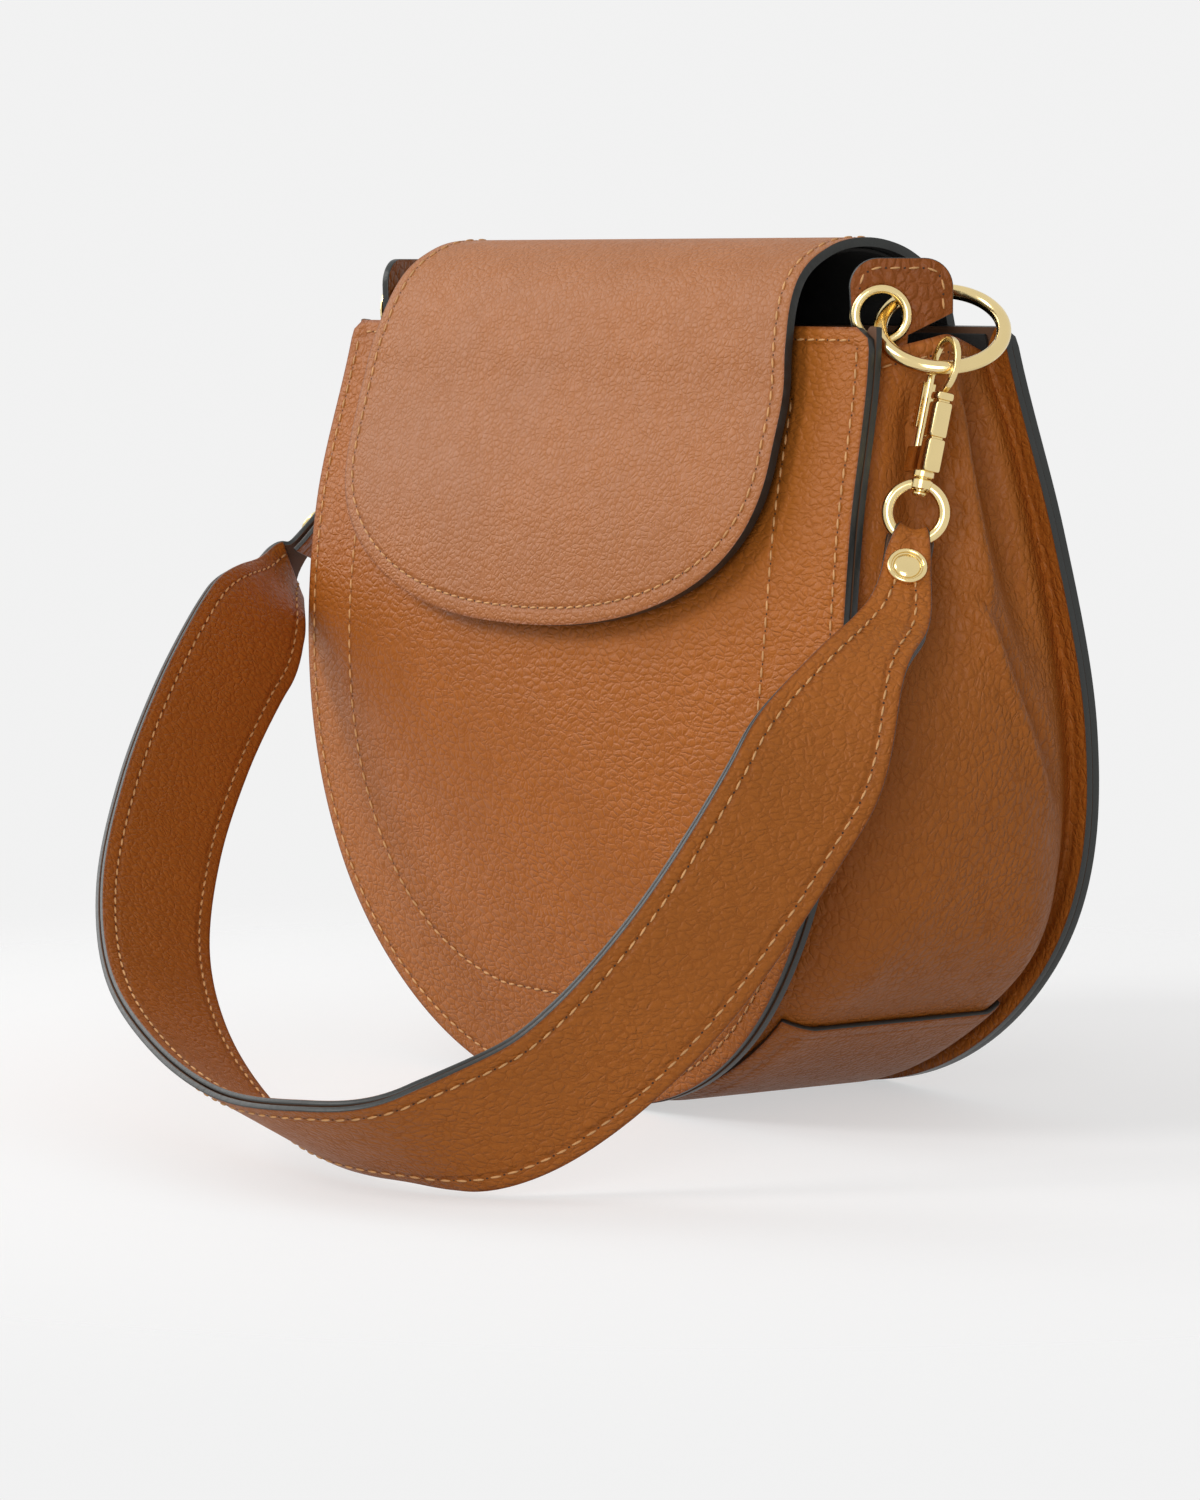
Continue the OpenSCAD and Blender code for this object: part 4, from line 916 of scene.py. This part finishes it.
tail_steps = int((run < rivet_r * 2.9).sum())
face_off = ply_mid + ply_t / 2
wrap = wrap_rows(ply_t / 2)
tail = strap_rows(np.arange(0, tail_steps), -face_off)
half_end = np.concatenate([tail[::-1], wrap])
outer = even_rows(np.concatenate([half_end, strap_rows(np.arange(route_steps), face_off),
                                  (half_end * flip_x)[::-1]]))
for _ in range(3):
    outer[1:-1] = (outer[:-2] + 2 * outer[1:-1] + outer[2:]) / 4
strap_leather = pebbled_leather("strap_leather", leather_brown, leather_deep, 2.1, 1.05, 0.44,
                                turn=(30, 0, 0), pull=(1.2, 0.66, 1.2))


def across_mm(table):
    w = np.linalg.norm(table[:, 0] - table[:, -1], axis=1)[:, None]
    return np.minimum(cross_shares + 1, 1 - cross_shares)[None, :] * w / 2


piece = leather_sheet("strap_outer_leather", outer, ply_t, [strap_leather, leather_back, edge_paint],
                      "strap", (0, -1, -0.6), across_mm(outer), rim=0.45)
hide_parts("strap_outer")
inner_steps = np.arange(tail_steps + 10, route_steps - tail_steps - 10)
inner = even_rows(strap_rows(inner_steps, -face_off))
piece = leather_sheet("strap_lining_leather", inner, ply_t, [strap_leather, leather_back, edge_paint],
                      "strap", (0, 1, 0.6), across_mm(inner), rim=0.45)
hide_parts("strap_lining")
stitched = np.arange(14, route_steps - 14)
for name, s in (("upper", 1), ("lower", -1)):
    line = route + wide * (strap_width / 2 - seam_in * 0.9)[:, None] * s
    stitches("strap_stitches_" + name, (line + facing * face_off)[stitched], facing[stitched], "strap",
             5 * s)
    stitches("strap_stitches_inside_" + name, (line - facing * face_off)[inner_steps], -facing[inner_steps],
             "strap", 5 * s)

# Rivets
# Two-part gold rivets: a rimmed, domed cap on the face, a flat cap behind and a post through both layers.
cap_low, cap_t = face_off + 0.15, rivet_r * 0.26
cap = ([(0, -cap_low - cap_t), (rivet_r * 0.75, -cap_low - cap_t), (rivet_r * 0.8, -cap_low - cap_t + 0.2),
        (rivet_r * 0.8, -cap_low), (rivet_r * 0.26, -cap_low), (rivet_r * 0.26, cap_low), (rivet_r, cap_low)]
       + [(rivet_r * 0.88 + rivet_r * 0.12 * math.cos(a), cap_low + cap_t * 0.45 + cap_t * 0.5 * math.sin(a))
          for a in np.linspace(0, math.pi, 9)]
       + [(rivet_r * 0.70 * math.cos(a), cap_low + cap_t * 0.30 + cap_t * 0.95 * math.sin(a))
          for a in np.linspace(0.12, math.pi / 2, 9)])
for side, step in (("right", 10), ("left", route_steps - 11)):
    axes = Matrix((wide[step], np.cross(facing[step], wide[step]), facing[step])).transposed().to_4x4()
    bm = bmesh.new()
    turned(bm, cap, steps=48, closed=False)
    ready("rivet_metal_" + side, bm, Matrix.Translation(route[step]) @ axes, 1, [gold],
          "strap_rivet_" + side, "strap")

# Flap
# One piece of finer, smoother leather sewn to the back panel, arching over the mouth and ending in a
# rounded tongue in front. Its edge is painted all round and stitched 4.6 mm in.
flap_t, flap_half, flap_flare, flap_rise = 2.4, 96.0, 7.5, 23.0
tip_z, flap_off, flap_sewn = 131.0, 4.0, 34.0
fold_y = float(back_edge(bag_h)) + 3.0
mouth_y = -float(front_edge(bag_h)) - flap_off - flap_t
round_z = tip_z + (bag_h - tip_z) * 0.58
crest_z = bag_h + flap_rise
arch_shares = [(1.0, 0.02), (0.97, 0.32), (0.87, 0.64), (0.70, 0.90), (0.49, 1.0), (0.28, 0.90),
               (0.10, 0.55)]
front_stops = [0.98, 0.92, 0.84, 0.77, 0.70, tip_z / bag_h]
flap_knots = ([(mouth_y + (fold_y - mouth_y) * a, bag_h + flap_rise * b) for a, b in arch_shares]
              + [(-float(front_edge(s * bag_h)) - flap_off - flap_t, s * bag_h) for s in front_stops])
flap_leather = pebbled_leather("flap_leather", (0.42, 0.145, 0.036), (0.27, 0.080, 0.018), 1.7, 0.75, 0.46,
                               turn=(0, 20, 0), pull=(0.8, 1, 1.1), shine=0.35)


def flap_table(cols=121):
    s = 1 - (1 - np.linspace(0, 1, 170))**1.7
    path = through(flap_knots, s)
    y, z = path[:, 0], path[:, 1]
    flare = np.where(y < 0, flap_flare * smooth((crest_z - z) / (flap_rise * 2)), 0)
    drop = np.clip((round_z - z) / (round_z - tip_z), 0, 1)
    rounding = np.where((y < 0) & (z < round_z), np.maximum(1 - drop**2.3, 0.0002)**(1 / 2.3), 1)
    half = (flap_half + flare) * rounding
    u = np.linspace(-1, 1, cols)
    shares = 0.6 * u + 0.4 * np.sin(math.pi / 2 * u)
    x = half[:, None] * shares
    swell = through([0, 0.75, 1.0, 0.8, 0.35], np.minimum(1, z / bag_h)) * smooth((crest_z - z) / flap_rise)
    swell = np.where(y < 0, 9 * swell, 0)[:, None] * (1 - 0.6 * (x / (flap_half + flap_flare))**2)
    over = np.stack([x, y[:, None] - swell, np.repeat(z[:, None], cols, 1)], 2)
    az = np.linspace(bag_h - flap_sewn, bag_h - 6, 24)[:, None]
    ax = flap_half * shares[None, :] + 0 * az
    sewn = np.stack([ax, back_face(ax, az) + 0.6 + flap_t, az + 0 * ax], 2)
    table = np.concatenate([sewn, over])
    for _ in range(14):
        table[20:32] = (table[19:31] + 2 * table[20:32] + table[21:33]) / 4
    middle = table[:, cols // 2]
    length = np.r_[0, np.cumsum(np.linalg.norm(np.diff(middle, axis=0), axis=1))]
    return table, np.concatenate([np.full(24, flap_half), half]), length, shares


table, half, length, shares = flap_table()
contour = np.concatenate([np.stack([half, length], 1), np.stack([-half, length], 1)[::-1]])
contour = np.concatenate([contour, contour[:1]])
flat_x = half[:, None] * shares
flat_spots = np.stack([flat_x, np.repeat(length[:, None], len(shares), 1)], 2).reshape(-1, 2)
flap_piece = leather_sheet("flap_leather_piece", table, flap_t, [flap_leather, lining_cloth, edge_paint],
                           None, (0, -1, 0.3), nearest(flat_spots, contour), rim=0.6)
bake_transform(flap_piece)
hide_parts("flap_shell", "flap_anchor")


def on_flap(line):
    """Places and normals on the flap for a line of (across, along) lengths."""
    row = np.interp(line[:, 1], length, np.arange(len(length)))
    share = line[:, 0] / np.interp(line[:, 1], length, half)
    col = np.interp(share, shares, np.arange(len(shares)))
    spots, normals = surface(table, row, col)
    return spots, normals


seam = inset(contour[:-1], seam_in)
seam = seam[(np.abs(seam[:, 0]) < 110) & (seam[:, 1] > 3)]
spots, normals = on_flap(seam)
normals *= np.sign((normals * (spots - [0, -10, 190])).sum(1))[:, None]
behind = spots[:, 1] >= 8
for name, part in (("right", spots[:, 0] > 0), ("left", spots[:, 0] <= 0)):
    for where, body, keep in (("front", "flap", part & ~behind),
                              ("back", "bag", part & behind & (spots[:, 2] < 204))):
        if keep.sum() > 3:
            stitches("flap_stitches_" + where + "_" + name, spots[keep], normals[keep], body)
for k, z in enumerate((183.0, 203.0)):
    row = np.interp(z, table[:24, 60, 2], np.arange(24))
    cols = np.linspace(4, 116, 90)
    spots, normals = surface(table, np.full(90, row), cols)
    normals *= np.sign(normals[:, 1:2])
    stitches("flap_back_stitches_" + "ab"[k], spots, normals, "bag")

# Flap lining and magnetic closure
# Thin black lining under the flap from the mouth to the tip, with one half of a flat magnetic stud; the
# other half is set in the front panel behind it.
inner = table[26:168:2, 2:-2:2]
grad_row = np.gradient(inner, axis=0)
grad_col = np.gradient(inner, axis=1)
normals = unit(np.cross(grad_col, grad_row))
normals *= np.sign((normals * (inner - [0, -8, 185])).sum(2))[..., None]
shrink = np.clip(1 - 2.2 / np.maximum(np.abs(inner[:, -1:, 0]), 8), 0.4, 1)
under = inner - normals * (flap_t + 0.3)
under[..., 0] *= shrink
piece = leather_sheet("flap_lining_cloth", under, 0.9, [lining_cloth] * 3, "flap", (0, 1, -0.3),
                      side=1, rim=0.2)
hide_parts("flap_lining")
magnet_r, magnet_z = 8.5, 152.0
magnet_y = float(front_face(0.0, magnet_z))
slope = math.atan2(float(front_face(0.0, magnet_z + 2)) - magnet_y, 2.0)
at_magnet = (Matrix.Translation((0, magnet_y, magnet_z)) @ Matrix.Rotation(-slope, 4, "X")
             @ Matrix.Rotation(math.pi / 2, 4, "X"))
for name, body, low, thick in (("magnet_socket", "bag", 0.3, 0.9), ("magnet_stud", "flap", 1.5, 0.75)):
    bm = bmesh.new()
    turned(bm, [(0, low), (magnet_r * 0.97, low), (magnet_r, low + 0.2), (magnet_r, low + thick * 0.6),
                (magnet_r * 0.85, low + thick), (magnet_r * 0.3, low + thick), (0, low + thick * 0.7)],
           steps=48, closed=False)
    ready(name + "_metal", bm, at_magnet, 1, [gold], name, body)

# Camera
# A long lens from the front right, a little above the bag, aimed slightly down.
camera_turn, camera_far, camera_up, focal_px = math.radians(55), 1.5, 0.227, 5400.0
aim_left_px, aim_down_px, photo_h_px, sensor_mm = 103.0, 482.0, 1500.0, 36.0
yaw, pitch = math.atan(aim_left_px / focal_px), math.atan(aim_down_px / focal_px)
back_to_bag = Vector((-math.sin(camera_turn), math.cos(camera_turn), 0))
to_right = Vector((math.cos(camera_turn), math.sin(camera_turn), 0))
ahead = back_to_bag * math.cos(yaw) - to_right * math.sin(yaw)
cam_right = to_right * math.cos(yaw) + back_to_bag * math.sin(yaw)
look = ahead * math.cos(pitch) + Vector((0, 0, -math.sin(pitch)))
cam_up = cam_right.cross(look)
lens = bpy.data.cameras.new("camera")
lens.lens = focal_px / photo_h_px * sensor_mm
lens.sensor_width = sensor_mm
camera = bpy.data.objects.new("camera", lens)
stand = Vector((math.sin(camera_turn) * camera_far, -math.cos(camera_turn) * camera_far, camera_up))
camera.matrix_world = Matrix.Translation(stand) @ Matrix((cam_right, cam_up, -look)).transposed().to_4x4()
bpy.context.scene.collection.objects.link(camera)
bpy.context.scene.camera = camera

# Floor, backdrop and light
# A pale floor that fades into a pale backdrop and keeps a soft shadow, a frontal key, a broad soft box on
# the left that glances off the leather, and a fill from the right front.
backdrop, floor_tone, floor_glow = 0.885, 0.45, 0.54
floor_rough, floor_shine, fade_from, fade_to = 0.7, 0.2, 0.22, 0.50


def shown_rays(tree):
    """One for the camera, and for what polished metal or glass mirrors; nought for all other light."""
    path = tree.nodes.new("ShaderNodeLightPath")
    most = number(tree, "MAXIMUM", path.outputs["Is Camera Ray"], path.outputs["Is Glossy Ray"])
    return number(tree, "MAXIMUM", most, path.outputs["Is Transmission Ray"])


def joined(tree, kind, *sources):
    """Output of a new shader node whose inputs are linked to the sources in order."""
    n = tree.nodes.new(kind)
    for socket, source in zip(n.inputs, sources):
        tree.links.new(source, socket)
    return n.outputs[0]


floor_paint, tree, bsdf = node_material("floor_paint")
bsdf.inputs["Base Color"].default_value = (floor_tone, floor_tone, floor_tone, 1)
bsdf.inputs["Roughness"].default_value = floor_rough
bsdf.inputs["Specular IOR Level"].default_value = floor_shine
far = tree.nodes.new("ShaderNodeVectorMath")
far.operation = "LENGTH"
tree.links.new(tree.nodes.new("ShaderNodeTexCoord").outputs["Object"], far.inputs[0])
glow = tree.nodes.new("ShaderNodeEmission")
glow.inputs["Strength"].default_value = floor_glow
lit = joined(tree, "ShaderNodeAddShader", bsdf.outputs[0], glow.outputs[0])
seen = joined(tree, "ShaderNodeMixShader", shown_rays(tree), bsdf.outputs[0], lit)
clear = tree.nodes.new("ShaderNodeBsdfTransparent").outputs[0]
fade = ramp(tree, far.outputs["Value"], fade_from, fade_to)
faded = joined(tree, "ShaderNodeMixShader", fade, seen, clear)
tree.links.new(faded, tree.nodes["Material Output"].inputs["Surface"])
bm = bmesh.new()
bmesh.ops.create_grid(bm, x_segments=2, y_segments=2, size=700)
into_object("floor", bm, [floor_paint], None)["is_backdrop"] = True

world = bpy.data.worlds.new("world")
bpy.context.scene.world = world
world.use_nodes = True
tree = world.node_tree
ambient = tree.nodes["Background"]
shown = tree.nodes.new("ShaderNodeBackground")
shown.inputs["Color"].default_value = (backdrop, backdrop, backdrop, 1)
chosen = joined(tree, "ShaderNodeMixShader", shown_rays(tree), ambient.outputs[0], shown.outputs[0])
tree.links.new(chosen, tree.nodes["World Output"].inputs["Surface"])
direction = tree.nodes.new("ShaderNodeSeparateXYZ")
tree.links.new(tree.nodes.new("ShaderNodeTexCoord").outputs["Generated"], direction.inputs[0])
tree.links.new(ramp(tree, direction.outputs["Z"], -0.2, 0.9, 0.14, 0.42), ambient.inputs["Strength"])
ambient.inputs["Color"].default_value = (1, 1, 1, 1)


def lamp(name, kind, place, strength, size=None, spread=None):
    data = bpy.data.lights.new(name, kind)
    data.energy = strength
    if size:
        data.shape = "RECTANGLE"
        data.size, data.size_y = size
    if spread:
        data.angle = math.radians(spread)
    obj = bpy.data.objects.new(name, data)
    obj.location = place
    aim = Vector(place) - (Vector((0, 0, 0.12)) if size else Vector())
    obj.rotation_mode = "QUATERNION"
    obj.rotation_quaternion = aim.to_track_quat("Z", "Y")
    bpy.context.scene.collection.objects.link(obj)


lamp("key", "SUN", (-0.25, -1.0, 0.75), 1.0, spread=20)
lamp("left_box", "AREA", (-0.95, -0.55, 0.60), 5.0, size=(0.8, 0.8))
lamp("right_fill", "AREA", (1.05, -1.0, 0.32), 8.0, size=(0.6, 0.8))
bpy.context.scene.view_settings.view_transform = "Standard"

low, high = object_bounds()
